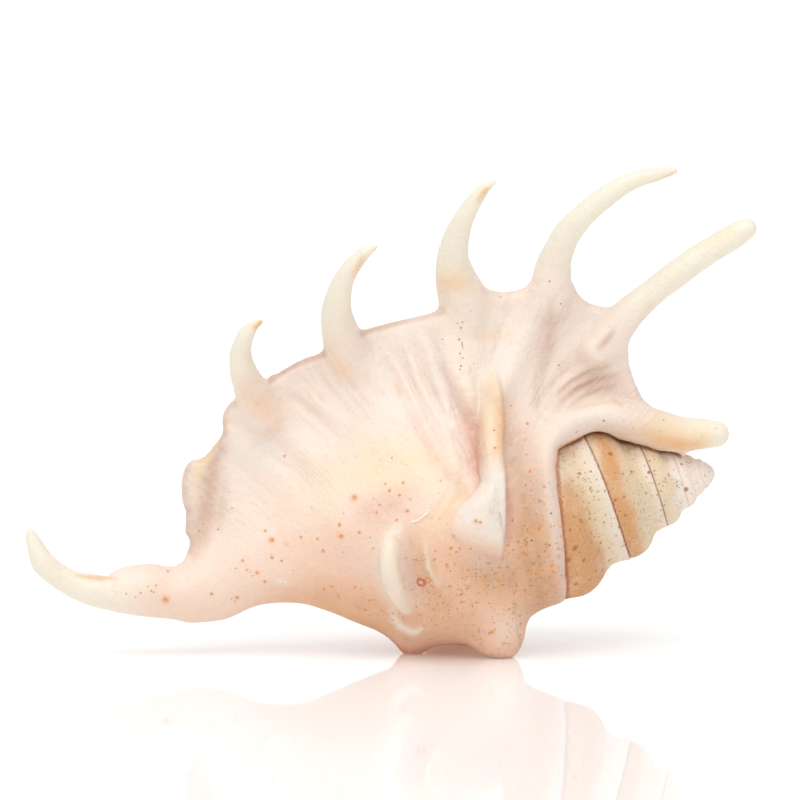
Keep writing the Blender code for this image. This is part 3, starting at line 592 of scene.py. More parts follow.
# Where they show, and how high they are: (s, v, height, half width).
WRINKLED = [
    [(77, 51, 0.9, 7), (72, 42, 1.0, 7), (67, 33, 0.9, 6), (64, 24, 0.5, 6)],
    [(103, 44, 0.6, 7), (97, 37, 0.9, 7), (89, 28, 0.7, 7), (82, 20, 0.4, 6)],
    [(20, 41, 0.5, 4), (28, 36.5, 0.9, 5), (37, 32.5, 0.8, 4)],
    [(118, 32, 0.5, 5), (109, 20, 0.4, 6)],
]


def fan_line(s, v):
    """Which line of the fan a place lies on, as the line's s at WRINKLE_V: the s that, less its slope, fits."""
    line = np.array(s, dtype=float)
    for _ in range(40):
        line += 0.5 * (s - along(WRINKLE_FAN, line) * (WRINKLE_V - v) - line)
    return line


def wrinkles(s, v):
    """Long folds side by side: lumps drawn out twelvefold along the fan of lines that run in from the lip."""
    flat = np.stack((fan_line(s, v), 0.13 * v, 0 * v), axis=-1).reshape(-1, 3)
    streaks = (lumps(flat, 2.7, 11) + 0.8 * lumps(flat, 4.6, 12) + 0.4 * lumps(flat, 1.5, 13)).reshape(s.shape)
    everywhere = 0.18 * ease(12, 34, v)
    return streaks * 0.30 * (crests(WRINKLED, s, v) + everywhere)


def rod_points(places, step):
    """A rod's (s, v, w, radius) places, read from smooth curves at even steps along it."""
    places = np.array(places, dtype=float)
    reach = np.concatenate(([0], np.cumsum(np.linalg.norm(np.diff(places[:, :3], axis=0), axis=1))))
    at = np.linspace(0, reach[-1], max(3, int(reach[-1] / step) + 1))
    return np.stack([along(list(zip(reach, places[:, k])), at) for k in range(4)], axis=1).astype(np.float32)


def rod_block(points, margin):
    """The part of the grid that a rod can touch."""
    low = (points[:, :3] - points[:, 3:]).min(axis=0) - margin
    high = (points[:, :3] + points[:, 3:]).max(axis=0) + margin
    return tuple(slice(max(0, int((l - axis[0]) / GRID)), int((h - axis[0]) / GRID) + 2)
                 for l, h, axis in zip(low, high, (grid_s, grid_v, grid_w)))


def rod_distance(points, block):
    """Distance to a rod: the least of the distances to its stretches, each less the radius there."""
    s, v, w = grid_s[block[0], None, None], grid_v[None, block[1], None], grid_w[None, None, block[2]]
    nearest = np.full(np.broadcast(s, v, w).shape, 99, dtype=np.float32)
    for (s0, v0, w0, r0), (s1, v1, w1, r1) in zip(points, points[1:]):
        ds, dv, dw = s1 - s0, v1 - v0, w1 - w0
        t = np.clip(((s - s0) * ds + (v - v0) * dv + (w - w0) * dw) / (ds * ds + dv * dv + dw * dw), 0, 1)
        away = np.sqrt((s - s0 - t * ds) ** 2 + (v - v0 - t * dv) ** 2 + (w - w0 - t * dw) ** 2)
        nearest = np.minimum(nearest, away - (r0 + t * (r1 - r0)))
    return nearest


def wall_field():
    """Distance to the wall of the last whorl: the skin less its thickness, ended by a round edge at the outline
    of the lip, together with the inner whorl that it winds round."""
    s, v, w = grid_s[:, None, None], grid_v[None, :, None], grid_w[None, None, :]
    s2, v2 = np.meshgrid(grid_s, grid_v, indexing="ij")
    radius, angle = np.hypot(v, w), np.arctan2(v, w)
    outer = whorl_radius(s, angle).astype(np.float32)
    face = back_face(s2, v2)
    slope = np.sqrt(1 + np.gradient(face, GRID, axis=0) ** 2 + np.gradient(face, GRID, axis=1) ** 2)
    plain = bell(s2, v2) + 0.5 * crests(FOLDS, s2, v2) + 0.25 * wrinkles(s2, v2)
    plain_slope = np.sqrt(1 + np.gradient(plain, GRID, axis=0) ** 2 + np.gradient(plain, GRID, axis=1) ** 2)
    plain_skin = np.where(v < 0, radius - outer, (w - plain[:, :, None]) / plain_slope[:, :, None])
    low_relief = relief(s2, v2)[:, :, None] * ease(0, 8, w)
    skin = np.where(v < 0, radius - outer - low_relief, (w - face[:, :, None]) / slope[:, :, None]).astype(np.float32)

    free, contact = to_line(LIP_EDGE, s2, v2), to_line(SPIRE_CONTACT, s2, v2)
    within = inside(LIP_EDGE + SPIRE_CONTACT[1:], s2, v2)
    past_edge = np.where(within, -1, 1) * np.minimum(free, contact)
    chipped = lumps(np.stack((s2, v2, 0 * s2), axis=-1).reshape(-1, 3), 1.6, 21).reshape(s2.shape)
    past_edge += 0.35 * chipped * ease(60, 118, s2) * (1 - ease(4, 9, free))
    start = np.interp(np.degrees(angle), *np.array(START).T)
    past = np.where(v < 0, np.maximum(start - s, s - 136), past_edge[:, :, None]).astype(np.float32)
    by_spire = ((1 - ease(-3, 2, contact - free)) * (1 - ease(3, 17, contact)))[:, :, None]
    thick = WALL + 9 * by_spire * ease(-2, 6, v)
    rounded = (1.1 + 0.8 * ease(-2, 8, v) + 2.6 * by_spire * ease(0, 16, v)).astype(np.float32)
    slab = np.maximum(skin, -plain_skin.astype(np.float32) - thick)
    wall = (np.minimum(np.maximum(slab, past), -rounded)
            + np.hypot(np.maximum(slab + rounded, 0), np.maximum(past + rounded, 0)))

    share = np.clip((angle - DEEP_ANGLE) / (math.pi - DEEP_ANGLE), 0, 1)
    behind = along(BEHIND_RADIUS, s)
    inner = behind * (0.70 + 0.30 * share ** 1.4)
    callus = 25.0 * (1 - ease(45, 60, s)) * ease(0.2, 1.3, angle)
    inner = np.maximum(inner, callus)
    closed = 1 - ease(HOLLOW_END, DEEP_ANGLE, angle)
    core = radius - (inner * (1 - closed) + outer * closed)
    core = np.maximum(core, np.maximum(start - s, s - 136))
    return merge(wall, core.astype(np.float32), 1.5).astype(np.float32)


def skin_net(field):
    """The skin where the field is nothing: a vertex in each cell it passes through, at the mean of where it crosses
    the cell's edges, and two triangles across each edge of the grid that it crosses."""
    solid = field < 0
    shape = np.array(field.shape)
    corners = [np.array(corner) for corner in np.ndindex(2, 2, 2)]
    count = sum(solid[tuple(slice(c, n - 1 + c) for c, n in zip(corner, shape))].astype(np.uint8) for corner in corners)
    cells = np.argwhere((count > 0) & (count < 8))
    number = np.full(shape - 1, -1, dtype=np.int32)
    number[tuple(cells.T)] = np.arange(len(cells))
    total, crossings = np.zeros((len(cells), 3)), np.zeros(len(cells))
    for start in corners:
        for axis in np.flatnonzero(start == 0):
            end = start + np.eye(3, dtype=int)[axis]
            a, b = field[tuple((cells + start).T)], field[tuple((cells + end).T)]
            crossed = (a < 0) != (b < 0)
            t = np.where(crossed, a / np.where(crossed, a - b, 1), 0)
            total += crossed[:, None] * (start + t[:, None] * (end - start))
            crossings += crossed
    places = np.array((grid_s[0], grid_v[0], grid_w[0])) + GRID * (cells + total / crossings[:, None])
    triangles = []
    for axis in range(3):
        a, b = (axis + 1) % 3, (axis + 2) % 3
        before = tuple(slice(0, -1) if k == axis else slice(1, -1) for k in range(3))
        after = tuple(slice(1, None) if k == axis else slice(1, -1) for k in range(3))
        edges = np.argwhere(solid[before] != solid[after])
        edges[:, a] += 1
        edges[:, b] += 1
        step_a, step_b = np.eye(3, dtype=int)[a], np.eye(3, dtype=int)[b]
        quad = [number[tuple(at.T)] for at in (edges - step_a - step_b, edges - step_b, edges, edges - step_a)]
        quad = np.stack(quad, axis=1)
        outward = solid[tuple(edges.T)]
        quad[outward] = quad[outward][:, ::-1]
        triangles += [quad[:, [0, 1, 2]], quad[:, [0, 2, 3]]]
    return places, np.concatenate(triangles)


def last_whorl_field():
    field = wall_field()
    for places in DIGITS.values():
        points = rod_points(places, 1.0)
        block = rod_block(points, 8)
        field[block] = merge(field[block], rod_distance(points, block), DIGIT_BLEND)
    points = rod_points(CANAL, 1.2)
    block = rod_block(points, 8)
    field[block] = merge(field[block], rod_distance(points, block), 3)
    groove = points.copy()
    groove[:, 1] += points[:, 3] * math.sin(GROOVE_ANGLE) * 0.62
    groove[:, 2] += points[:, 3] * math.cos(GROOVE_ANGLE) * 0.62
    groove[:, 3] *= 0.46 * ease(0, 14, np.arange(len(points)) * 1.2) * (1 - ease(40, 62, np.arange(len(points)) * 1.2))
    field[block] = -merge(-field[block], rod_distance(groove, block), 1.2)
    for places, blend in ((KNOB_2, 1.8), (KNOB_A, 4), (KNOB_B, 4), (KNOB_C, 4)):
        points = rod_points(places, 1.0)
        block = rod_block(points, 8)
        field[block] = merge(field[block], rod_distance(points, block), blend)
    height = APEX.z + grid_s[:, None] * TOWARDS_CANAL.z + grid_v[None, :] * TOWARDS_LIP.z
    return np.maximum(field, -height[:, :, None].astype(np.float32))


def settle(piece, *modifiers):
    """Adds each (type, settings) modifier to the piece and keeps the mesh that they make."""
    for kind, settings in modifiers:
        modifier = piece.modifiers.new(kind.lower(), kind)
        for name, value in settings.items():
            setattr(modifier, name, value)
    made = bpy.data.meshes.new_from_object(piece.evaluated_get(bpy.context.evaluated_depsgraph_get()))
    piece.modifiers.clear()
    piece.data = made


def on_shell(piece):
    """The (s, v, w) places of a piece's vertices."""
    world = np.empty(len(piece.data.vertices) * 3, dtype=np.float32)
    piece.data.vertices.foreach_get("co", world)
    return (world.reshape(-1, 3).astype(float) / MM - np.array(APEX)) @ SHELL_AXES.T


WHORL_TRIANGLES = 195000
net_places, net_triangles = skin_net(last_whorl_field())
whorl = mesh_piece("last_whorl", net_places, net_triangles)
print("TRIANGLES", len(net_triangles))
settle(whorl, ("SMOOTH", {"factor": 0.5, "iterations": 3}),
       ("DECIMATE", {"ratio": WHORL_TRIANGLES / len(net_triangles)}))
whorl.data.shade_smooth()

WALL_PINK = (0.87, 0.74, 0.645)
WALL_PEACH = (0.84, 0.52, 0.36)
WALL_CREAM = (0.86, 0.735, 0.56)
# worn white of the knobs, also used as painted highlight on the bead, edges and streaks
WALL_WHITE_AND_HIGHLIGHT = (0.83, 0.74, 0.645)
# a brownish stain, deepened as painted shade beside and under the knobs
TAWNY_STAIN_AND_SHADE = (0.60, 0.33, 0.165)
# painted shade: a deeper pink in the hollows and furrows
VALLEY_SHADE_PINK = (0.64, 0.33, 0.24)
# painted shade: a grey-lilac where the back turns away from the light
LILAC_SHADE_GREY = (0.66, 0.53, 0.48)
STAIN_BROWN = (0.56, 0.35, 0.24)
STAIN_ORANGE = (0.80, 0.42, 0.15)
STAIN_YELLOW = (0.89, 0.67, 0.38)
TIP_IVORY = (0.86, 0.80, 0.665)
SPOT_ORANGE = (0.76, 0.29, 0.07)
SPOT_HALO = (0.86, 0.43, 0.18)
SPOT_RED = (0.50, 0.13, 0.05)
PIT_DARK = (0.22, 0.10, 0.06)
GLAZE_PALE = (0.87, 0.62, 0.47)
GLAZE_DEEP = (0.80, 0.38, 0.20)
# the underside between the knobs: orange, darkened as painted shade, with a painted glow
UNDER_ORANGE_AND_SHADE = (0.44, 0.11, 0.035)
UNDER_PAINTED_GLOW = (0.60, 0.24, 0.07)         # light that comes through the wall

# Where each colour of the wall, and its painted shade and highlights, lies: (s, v, strength, half width) along lines.
PATCHES = {
    # brownish stain, and painted shade on the right sides of knobs 1 and 2 and low on the body
    "tawny": [
        [(74, 0, 0.2, 4), (66, -10, 0.5, 6), (52, -16, 0.5, 6)], [(52, 35, 0.15, 4), (50.5, 29, 0.35, 5), (49.5, 20, 0.55, 5.5), (49, 10, 0.75, 5), (50, 0, 0.9, 6), (52, -10, 1, 7), (50, -20, 0.9, 7)],
        [(68, -7, 0.6, 4), (62, -9, 1, 6), (55, -12, 0.8, 6)],
        [(79, 2, 0.5, 3), (78.5, -6, 0.75, 4), (76, -15, 0.6, 5)],
        [(114, -7, 0.2, 5), (104, -9, 0.45, 6), (96, -12, 0.5, 6), (88, -16, 0.5, 6), (70, -22, 0.5, 6)],
        [(118, -9, 0.35, 3), (104, -12, 0.5, 3), (92, -19, 0.7, 4)],
    ],
    # painted shade: deeper pink in the hollows beside knob 1 and above the bead
    "valley": [
        [(60.5, 36, 0.2, 2), (59.2, 31.6, 0.5, 2.4), (58.8, 26, 0.85, 3), (59.8, 20, 0.8, 2.6), (60.5, 15, 0.7, 1.8),
         (61.5, 11.5, 0.4, 1.2)],
        [(34, 28.5, 0.3, 2.6), (27.5, 29.4, 0.4, 3.0), (21, 29, 0.25, 2.6)],
        [(52.5, 33, 0.15, 2.5), (52, 28, 0.3, 2.5), (52.4, 22, 0.35, 2)], [(53.4, 24, 0.1, 1.0), (54.2, 14, 0.6, 1.0), (54.8, 6, 0.75, 1.1), (56.2, -1, 0.5, 1.2)],
        [(72, 30, 0.25, 2), (70, 22, 0.3, 2), (67, 16, 0.35, 2), (64, 11, 0.35, 2)],
        [(88.5, 11, 0.3, 3), (83, 13, 0.4, 3), (78, 15, 0.25, 3)],
    ],
    "cream": [
        [(82.7, 22, 0.8, 6), (71, 20, 0.6, 6), (66, 14, 0.5, 5)], [(101.5, 17, 0.5, 6), (94, 20, 0.5, 6)],
        [(57.5, 42, 0.3, 4), (57.8, 34, 0.7, 3)], [(60, 50, 0.35, 5), (52, 50, 0.3, 5)],
        [(14, 17, 0.5, 4), (6, 14, 0.8, 4.5), (-2, 12.5, 0.8, 5)], [(52.4, 30, 0.5, 2.4), (56, 22, 0.5, 2.4)],
    ],
    "brown": [
        [(117.8, 38.9, 0.3, 2), (119.8, 32.9, 0.45, 2), (123.3, 28.5, 0.7, 2.6), (124.5, 25, 0.8, 2.8),
         (126, 20, 0.65, 2.6), (127.4, 16.5, 0.75, 3.0), (129.7, 11.9, 0.65, 2.6), (131.6, 8.5, 0.4, 2)],
        [(120.5, 27, 0.1, 1.2), (121.6, 22, 0.35, 1.4), (123.2, 17, 0.4, 1.4), (125.4, 12.6, 0.3, 1.2)],
        [(19.4, 41, 0.5, 0.8), (21.2, 39.4, 0.7, 0.9), (23.2, 37.9, 0.4, 0.8)],
        [(33, 52, 0.2, 1.6), (33.6, 47, 0.4, 2.0), (35, 42.4, 0.45, 2.2), (37, 37.4, 0.4, 2.2), (39.7, 31.9, 0.4, 1.8), (42, 27.5, 0.3, 1.4)],
        [(36, 28.6, 0.3, 0.5), (31, 31.2, 0.6, 0.6), (26, 32.6, 0.5, 0.6), (21.5, 32.2, 0.2, 0.5)], [(35, 26.6, 0.3, 0.5), (30, 28.8, 0.6, 0.6), (25, 30.0, 0.6, 0.7), (20.5, 29.6, 0.3, 0.5)],
        [(34, 24.8, 0.2, 0.5), (29, 26.5, 0.5, 0.6), (24, 27.4, 0.5, 0.6), (20, 27.0, 0.2, 0.5)], [(37.6, 30.8, 0.3, 0.5), (33, 33.4, 0.5, 0.5), (28.6, 34.8, 0.3, 0.5)],
        [(36.2, 38, 0.12, 3), (30, 33, 0.2, 3), (24, 29, 0.2, 3), (19, 23, 0.1, 3)], [(22, 24, 0.35, 0.6), (21, 22.8, 0.35, 0.6)],
    ],
    "yellow": [
        [(118.4, 39.4, 0.5, 0.7), (119.6, 36.8, 0.7, 0.8), (121.4, 33.6, 0.8, 0.8), (124.4, 30.2, 0.8, 0.9),
         (126.6, 28.4, 0.8, 0.9), (128.4, 25.6, 0.5, 0.9), (128.8, 22.6, 0.4, 0.8), (130.2, 20.6, 0.3, 0.7)],
        [(98, 22, 0.1, 6), (84, 22, 0.42, 7), (74, 20, 0.30, 6)], [(66, 12, 0.3, 3), (73, 6, 0.35, 3.5), (77, 3, 0.3, 2.6)],
        [(61, 63, 0.30, 3), (54, 62.6, 0.38, 3)], [(-14, 60, 0.35, 1.6), (-6, 57.6, 0.2, 1.2)],
        [(18, 17.4, 0.2, 3), (10, 13, 0.5, 3.4), (3, 10.6, 0.5, 3.2)],
        [(52.6, 33, 0.2, 2), (54.3, 27.3, 0.28, 2.4), (56.4, 21.9, 0.2, 2)],
    ],
    "orange": [
        [(60, 61.5, 0.18, 2.6), (56.5, 61.6, 0.34, 2.6), (53.4, 60.4, 0.22, 2.2)],
        [(87.6, 52.5, 0.12, 2.4), (88.2, 49.8, 0.22, 2.6), (87.2, 45.7, 0.36, 2.8), (85.2, 42.6, 0.14, 2.4)],
        [(111.4, 47, 0.18, 3), (110.9, 44.6, 0.26, 3.2), (108.3, 41.3, 0.36, 3.6), (105.6, 36.4, 0.16, 2.8)],
        [(74.7, 39.6, 0.25, 0.9), (74.2, 37.4, 0.25, 0.9)],
        [(20, 17, 0.15, 2), (16, 14.4, 0.4, 2.2), (11.5, 11.4, 0.55, 2.2), (7.4, 9.4, 0.75, 2), (3.6, 8.8, 0.5, 1.8),
         (1, 8.4, 0.2, 1.5)],
        [(51.7, 31.6, 0.25, 0.9), (51.5, 27.8, 0.45, 1.0), (52.5, 24.5, 0.5, 1.0), (54.3, 21.0, 0.5, 0.9), (55.9, 19.2, 0.2, 0.8)],
        [(83.6, 4.6, 0.6, 0.7), (82.7, 2.4, 0.6, 0.6)], [(85.8, 10.5, 0.35, 1.8)],
        [(53, 47, 0.12, 1.4), (46, 46, 0.16, 1.6)], [(106.4, 61.7, 0.7, 0.8), (105.2, 62.4, 0.8, 0.8)],
        [(162, 9.0, 0.3, 0.5), (158.5, 7.6, 0.7, 0.6), (155.5, 6.8, 0.7, 0.6), (152.5, 6.2, 0.3, 0.5)], [(77.6, 73.2, 0.5, 0.8), (80.4, 69.6, 0.4, 0.8)],
        [(46.8, 81.4, 0.5, 0.7), (44.6, 83.6, 0.7, 0.7)], [(12, 73.4, 0.2, 0.7), (4.6, 75.4, 0.4, 0.7), (-1.6, 76.8, 0.7, 0.8)],
        [(112, -8.6, 0.3, 2), (100, -12.4, 0.35, 2), (90, -20.5, 0.4, 2)], [(8.6, 46, 0.2, 1.2), (14, 39, 0.15, 1.5)],
    ],
    # painted shade: under the bead, at the margins, beside knob 2, under knob 1's lobe and in hollows
    "lilac": [
        [(127.5, 24, 0.3, 2.5), (124, 17, 0.3, 3), (122, 12, 0.2, 3)],
        [(44.6, -25, 0.6, 1.4), (44.0, -14, 0.8, 1.5), (43.8, 4, 0.8, 1.5), (43.0, 11, 0.6, 1.4), (39, 17.6, 0.5, 1.6), (35.4, 20.4, 0.5, 1.8),
         (29.7, 20.8, 0.5, 1.8), (23.7, 18.4, 0.5, 1.8), (17.8, 15, 0.3, 1.5)],
        [(82.2, 2, 0.4, 1.6), (82, -4, 0.6, 1.8), (80.8, -12, 0.5, 2)], [(119.4, 36, 0.4, 1.2), (120.4, 33, 0.4, 1.2)],
        [(129.6, 28, 0.5, 1.2), (130.8, 22, 0.4, 1.4), (131.6, 14, 0.4, 1.4)],
        [(63, 50, 0.35, 1.6), (62.8, 40, 0.5, 1.5), (62, 32, 0.4, 1.4)], [(99, 45.5, 0.4, 3), (94, 46.5, 0.3, 3)],
        [(65, -5, 0.5, 2.4), (60, -8, 0.5, 2.4)], [(47, 20, 0.3, 4), (47, 6, 0.3, 4)], [(95, 2, 0.25, 5), (88, -6, 0.3, 3)],
        [(44, 30, 0.2, 3)],
    ],
    "white": [
        [(117, 35, 0.5, 2), (113, 30.5, 0.7, 2.6), (109.8, 25.6, 0.4, 2.6)],
        [(34.6, 56, 0.3, 1.4), (37, 49, 0.7, 1.4), (39.6, 45, 0.7, 1.6), (44.4, 41, 0.8, 2.2)],
        # painted highlight along the body's edge where it meets the spire
        [(44.8, 8, 0.25, 0.8), (45.2, 0, 0.35, 0.9), (45.6, -10, 0.3, 0.9)],
        # painted highlight on knob A (first line), then a white mark
        [(64, -22, 0.25, 4), (61, -25, 0.5, 5)], [(50.4, 49.7, 0.6, 0.9), (48.6, 49.1, 0.7, 0.9)],
        [(87.6, -14.4, 0.4, 0.9), (87.2, -17.1, 0.9, 1.1), (86.2, -19.3, 1, 1.1), (84.4, -20.8, 1, 1.1),
         (82.8, -21.8, 1, 1.1), (81.3, -20.7, 0.6, 0.9)],
        [(76.9, 1.2, 0.3, 0.6), (77.2, -4.6, 0.7, 0.6), (75.6, -9.4, 0.3, 0.6)],
        [(113.4, -2.0, 0.9, 0.5), (112.4, -2.6, 1, 0.7), (111.4, -2.9, 1, 0.5)], [(88, 47, 0.5, 1.6)],
    ],
}
# How brown the glazed edge of the lip is: s, strength.
EDGE_STAIN = [(14, 0.1), (45, 0.15), (52, 0.3), (60, 0.5), (66, 0.5), (74, 0.9), (84, 0.8), (90, 0.8), (98, 1), (108, 0.9),
              (112, 0.6), (120, 0.4), (134, 0.3)]
# Stains of single holes: (s, v, radius), then the small dark holes.
RUST_SPOTS = [(92.4, 6.6, 0.35), (102.3, 6.7, 0.3), (114.2, 10.8, 0.3), (120.2, 4.5, 0.3), (118.2, 0.3, 0.4),
              (117.3, -2.0, 0.35), (119.6, 1.5, 0.3), (113.9, 3.4, 0.3), (112.0, 3.0, 0.25), (142.6, 3.1, 0.2),
              (144.2, 2.4, 0.2), (103.0, -6.4, 0.3), (101.3, -6.1, 0.35), (99.4, -8.3, 0.3), (99.4, -10.0, 0.3),
              (106.0, -8.6, 0.25), (94.9, -7.0, 0.3), (92.9, -11.3, 0.45), (93.6, -13.6, 0.45), (91.7, -10.9, 0.3),
              (95.4, -13.3, 0.4), (92.8, -15.6, 0.4), (95.9, -15.3, 0.35), (80.5, 14.3, 0.3), (82.6, 17.3, 0.25),
              (87.0, 11.2, 0.3), (79.0, 10.1, 0.35), (82.7, 8.3, 0.3), (59.9, -8.9, 0.4), (60.2, -12.4, 0.45),
              (70.7, -13.4, 0.4), (49.8, -11.4, 0.45), (46.4, -13.4, 0.35), (69.0, -12.1, 0.35), (65.1, -9.9, 0.3),
              (91.6, 15.7, 0.7), (96.0, 6.8, 0.6), (141.6, -1.8, 0.7), (113.5, 8.1, 0.6), (96.3, 9.3, 0.4),
              (83.0, 15.9, 0.35), (123.9, -5.0, 0.4),
              (129.6, -2.6, 0.3), (64.0, 5.1, 0.4), (62.7, 3.7, 0.35), (55.5, 21.7, 0.3), (47.6, 13.6, 0.35),
              (45.3, 24.7, 0.3), (48.6, -1.0, 0.35), (50.5, -0.3, 0.3), (71.4, -1.1, 0.4), (72.0, -5.3, 0.4),
              (90.6, -14.4, 0.3), (64.9, -24.9, 0.5), (60.7, -12.2, 0.35), (56.6, -16.3, 0.35),
              (46.8, -11.6, 0.45), (51.6, -17.4, 0.35), (52.7, -12.3, 0.3), (59.3, -20.1, 0.35), 
              (61.8, 47.7, 0.16), (33.2, 56.7, 0.2), (78.6, 17.4, 0.3), (105.8, 27.8, 0.25), (54.4, 25.5, 0.25),
              (147.3, 2.5, 0.2), (151.1, 2.0, 0.16), (149.0, 0.3, 0.14), (143.7, 1.2, 0.18), (145.2, 3.6, 0.14)]
DARK_HOLES = [(30.0, 50.2, 0.25), (33.0, 35.1, 0.22), (25.6, 19.9, 0.3), (44.1, 55.4, 0.18), (47.7, 29.0, 0.2),
              (44.7, 3.0, 0.3), (50.1, -3.2, 0.3), (69.3, -1.6, 0.22), (46.8, -6.0, 0.25), (56.1, 51.0, 0.21),
              (56.7, 49.6, 0.23), (56.9, 47.8, 0.23), (56.6, 46.3, 0.20), (57.5, 44.5, 0.19), (57.9, 41.6, 0.23),
              (58.6, 40.9, 0.19), (59.7, 39.0, 0.12), (54.4, 40.9, 0.12), (52.8, 53.2, 0.13), (57.3, 50.6, 0.16), (57.2, 46.8, 0.2), (56.2, 45.6, 0.16),
              (57.6, 43.2, 0.16), (138.9, 5.7, 0.3)]

# Rings that a boring snail left, begun and given up: (s, v, radius, strength).
BORES = [(79.9, -8.6, 0.95, 1.0), (77.7, -8.5, 0.6, 0.6)]


def on_skin(s, v):
    """The place in world metres where the front of the mesh passes (s, v): of its near vertices, the foremost."""
    near = np.hypot(whorl_places[:, 0] - s, whorl_places[:, 1] - v) < 0.8
    return in_frame(whorl_places[near][np.argmax(whorl_places[near, 2])])


def wall_material():
    material, wall = new_material("shell_wall")
    places = wall.node("ShaderNodeTexCoord", {}, {}, 3)
    clouds = wall.noise(places, 12.0, 3.0)
    sway = wall.noise(places, 6.0, 2.0)
    mottle = wall.noise(places, 2.2, 4.0, 0.6)
    grain = wall.noise(places, 0.5, 3.0, 0.6)
    grown = wall.node("ShaderNodeCombineXYZ", {}, {"X": wall.mask("line") + (sway - 0.5) * (3 * MM),
                                                   "Y": wall.mask("run"), "Z": 0.0})
    lines = wall.noise(grown, 1.6, 3.0, 0.6)
    shown = wall.mask("plain") * (0.15 + 0.85 * clouds.step(0.42, 0.62))
    peach = (wall.mask("peach") + 0.5 * (clouds - 0.5) + 0.25 * (mottle - 0.5)).clip()
    colour = peach.blend(WALL_PINK, WALL_PEACH)
    for name, shade in (("cream", WALL_CREAM), ("tawny", TAWNY_STAIN_AND_SHADE), ("valley", VALLEY_SHADE_PINK), ("lilac", LILAC_SHADE_GREY),
                        ("brown", STAIN_BROWN), ("ivory", TIP_IVORY), ("yellow", STAIN_YELLOW),
                        ("orange", STAIN_ORANGE), ("white", WALL_WHITE_AND_HIGHLIGHT)):
        broken = wall.mask(name) * (1 + 1.1 * (mottle - 0.5) + 0.5 * (lines - 0.5))
        colour = broken.clip().blend(colour, shade)
    # painted shade and painted highlight: dark and light streaks along the growth lines, beside their bump
    colour = (lines.step(0.50, 0.72) * shown * 0.30).blend(colour, LILAC_SHADE_GREY)
    colour = ((1 - lines).step(0.50, 0.72) * shown * 0.45).blend(colour, WALL_WHITE_AND_HIGHLIGHT)
    # painted shade: deeper pink in the furrows
    colour = (wall.mask("furrow") * 0.15).clip().blend(colour, VALLEY_SHADE_PINK)
    glaze = (wall.mask("deep") + 0.4 * (clouds - 0.5) + 0.2 * (mottle - 0.5)).clip().blend(GLAZE_PALE, GLAZE_DEEP)
    colour = (wall.mask("glaze") * (0.8 + 0.5 * mottle)).clip().blend(colour, glaze)
    # painted shade: the underside darkened to a deep orange
    colour = wall.mask("under").blend(colour, UNDER_ORANGE_AND_SHADE)
    colour = (wall.mask("edge") * (0.4 + 0.8 * mottle)).clip().blend(colour, STAIN_BROWN)
    pitted = wall.mask("pitted")
    clumps = wall.noise(places, 5.0, 2.0).step(0.38, 0.62)
    ragged = wall.node("ShaderNodeVectorMath", {"operation": "MULTIPLY_ADD"},
                       {"Vector": wall.node("ShaderNodeTexNoise", {}, {"Vector": places, "Scale": 900.0}, 1),
                        "Vector_001": (0.0006, 0.0006, 0.0006), "Vector_002": places})
    halos = wall.spots(ragged, 2.4, 0.80, pitted * (0.25 + 0.7 * clumps))
    pits = wall.spots(ragged, 1.5, 0.34, pitted * (0.25 + 0.75 * clumps))
    specks = wall.spots(ragged, 0.9, 0.17, pitted * (0.10 + 0.80 * clumps))
    blots = wall.spots(ragged, 3.4, 0.46, pitted * 0.40)
    colour = (halos * 0.38).blend(colour, SPOT_HALO)
    colour = (pits * 0.55).blend(colour, SPOT_ORANGE)
    colour = (specks * 0.5).blend(colour, SPOT_RED)
    colour = (blots * 0.65).blend(colour, SPOT_ORANGE)
    holes = wall.math("MAXIMUM", wall.math("MAXIMUM", pits, specks), blots)
    for spots, shade, deep, halo in ((RUST_SPOTS, SPOT_ORANGE, 0.68, 0.6), (DARK_HOLES, PIT_DARK, 0.85, 0.1)):
        nearest = None
        for s, v, radius in spots:
            away = wall.node("ShaderNodeVectorMath", {"operation": "DISTANCE"},
                             {"Vector": places, "Vector_001": tuple(on_skin(s, v))}, "Value") / (radius * MM)
            nearest = away if nearest is None else wall.math("MINIMUM", nearest, away)
        ragged_edge = nearest + 1.2 * (grain - 0.5)
        colour = ((1 - ragged_edge.step(0.4, 2.8)) * halo).blend(colour, SPOT_HALO)
        spot = 1 - ragged_edge.step(0.2, 1.2)
        colour = (spot * deep).blend(colour, shade)
        holes = wall.math("MAXIMUM", holes, spot)
    for s, v, radius, strength in BORES:
        bore = wall.node("ShaderNodeVectorMath", {"operation": "DISTANCE"},
                         {"Vector": places, "Vector_001": tuple(on_skin(s, v))}, "Value") / (radius * MM)
        bore = bore + 1.1 * (grain - 0.5)
        rim = 1 - wall.math("ABSOLUTE", bore - 1.0).step(0.15, 0.60)
        colour = (rim * (strength * (0.4 + mottle))).clip().blend(colour, SPOT_RED)
    # painted shade in the crack where the wall meets the spire
    colour = wall.mask("crevice").blend(colour, SUTURE_AND_CREVICE_SHADE_BROWN)
    surface = {"Base Color": colour, "Roughness": 0.44 + 0.20 * (mottle - 0.5) - 0.18 * wall.mask("glaze"),
               "Subsurface Weight": 0.15, "Subsurface Radius": (1.0, 0.5, 0.3), "Subsurface Scale": 0.0015,
               # painted glow: the underside gives off a warm light
               "Emission Color": wall.mask("under").blend((0.0, 0.0, 0.0), UNDER_PAINTED_GLOW), "Emission Strength": 0.24,
               "Coat Weight": 0.12, "Coat Roughness": 0.25}
    finish_material(wall, surface, [(mottle, 0.00042), (lines * shown, 0.0005), (grain, 0.00010), (1 - holes, 0.00022)])
    return material


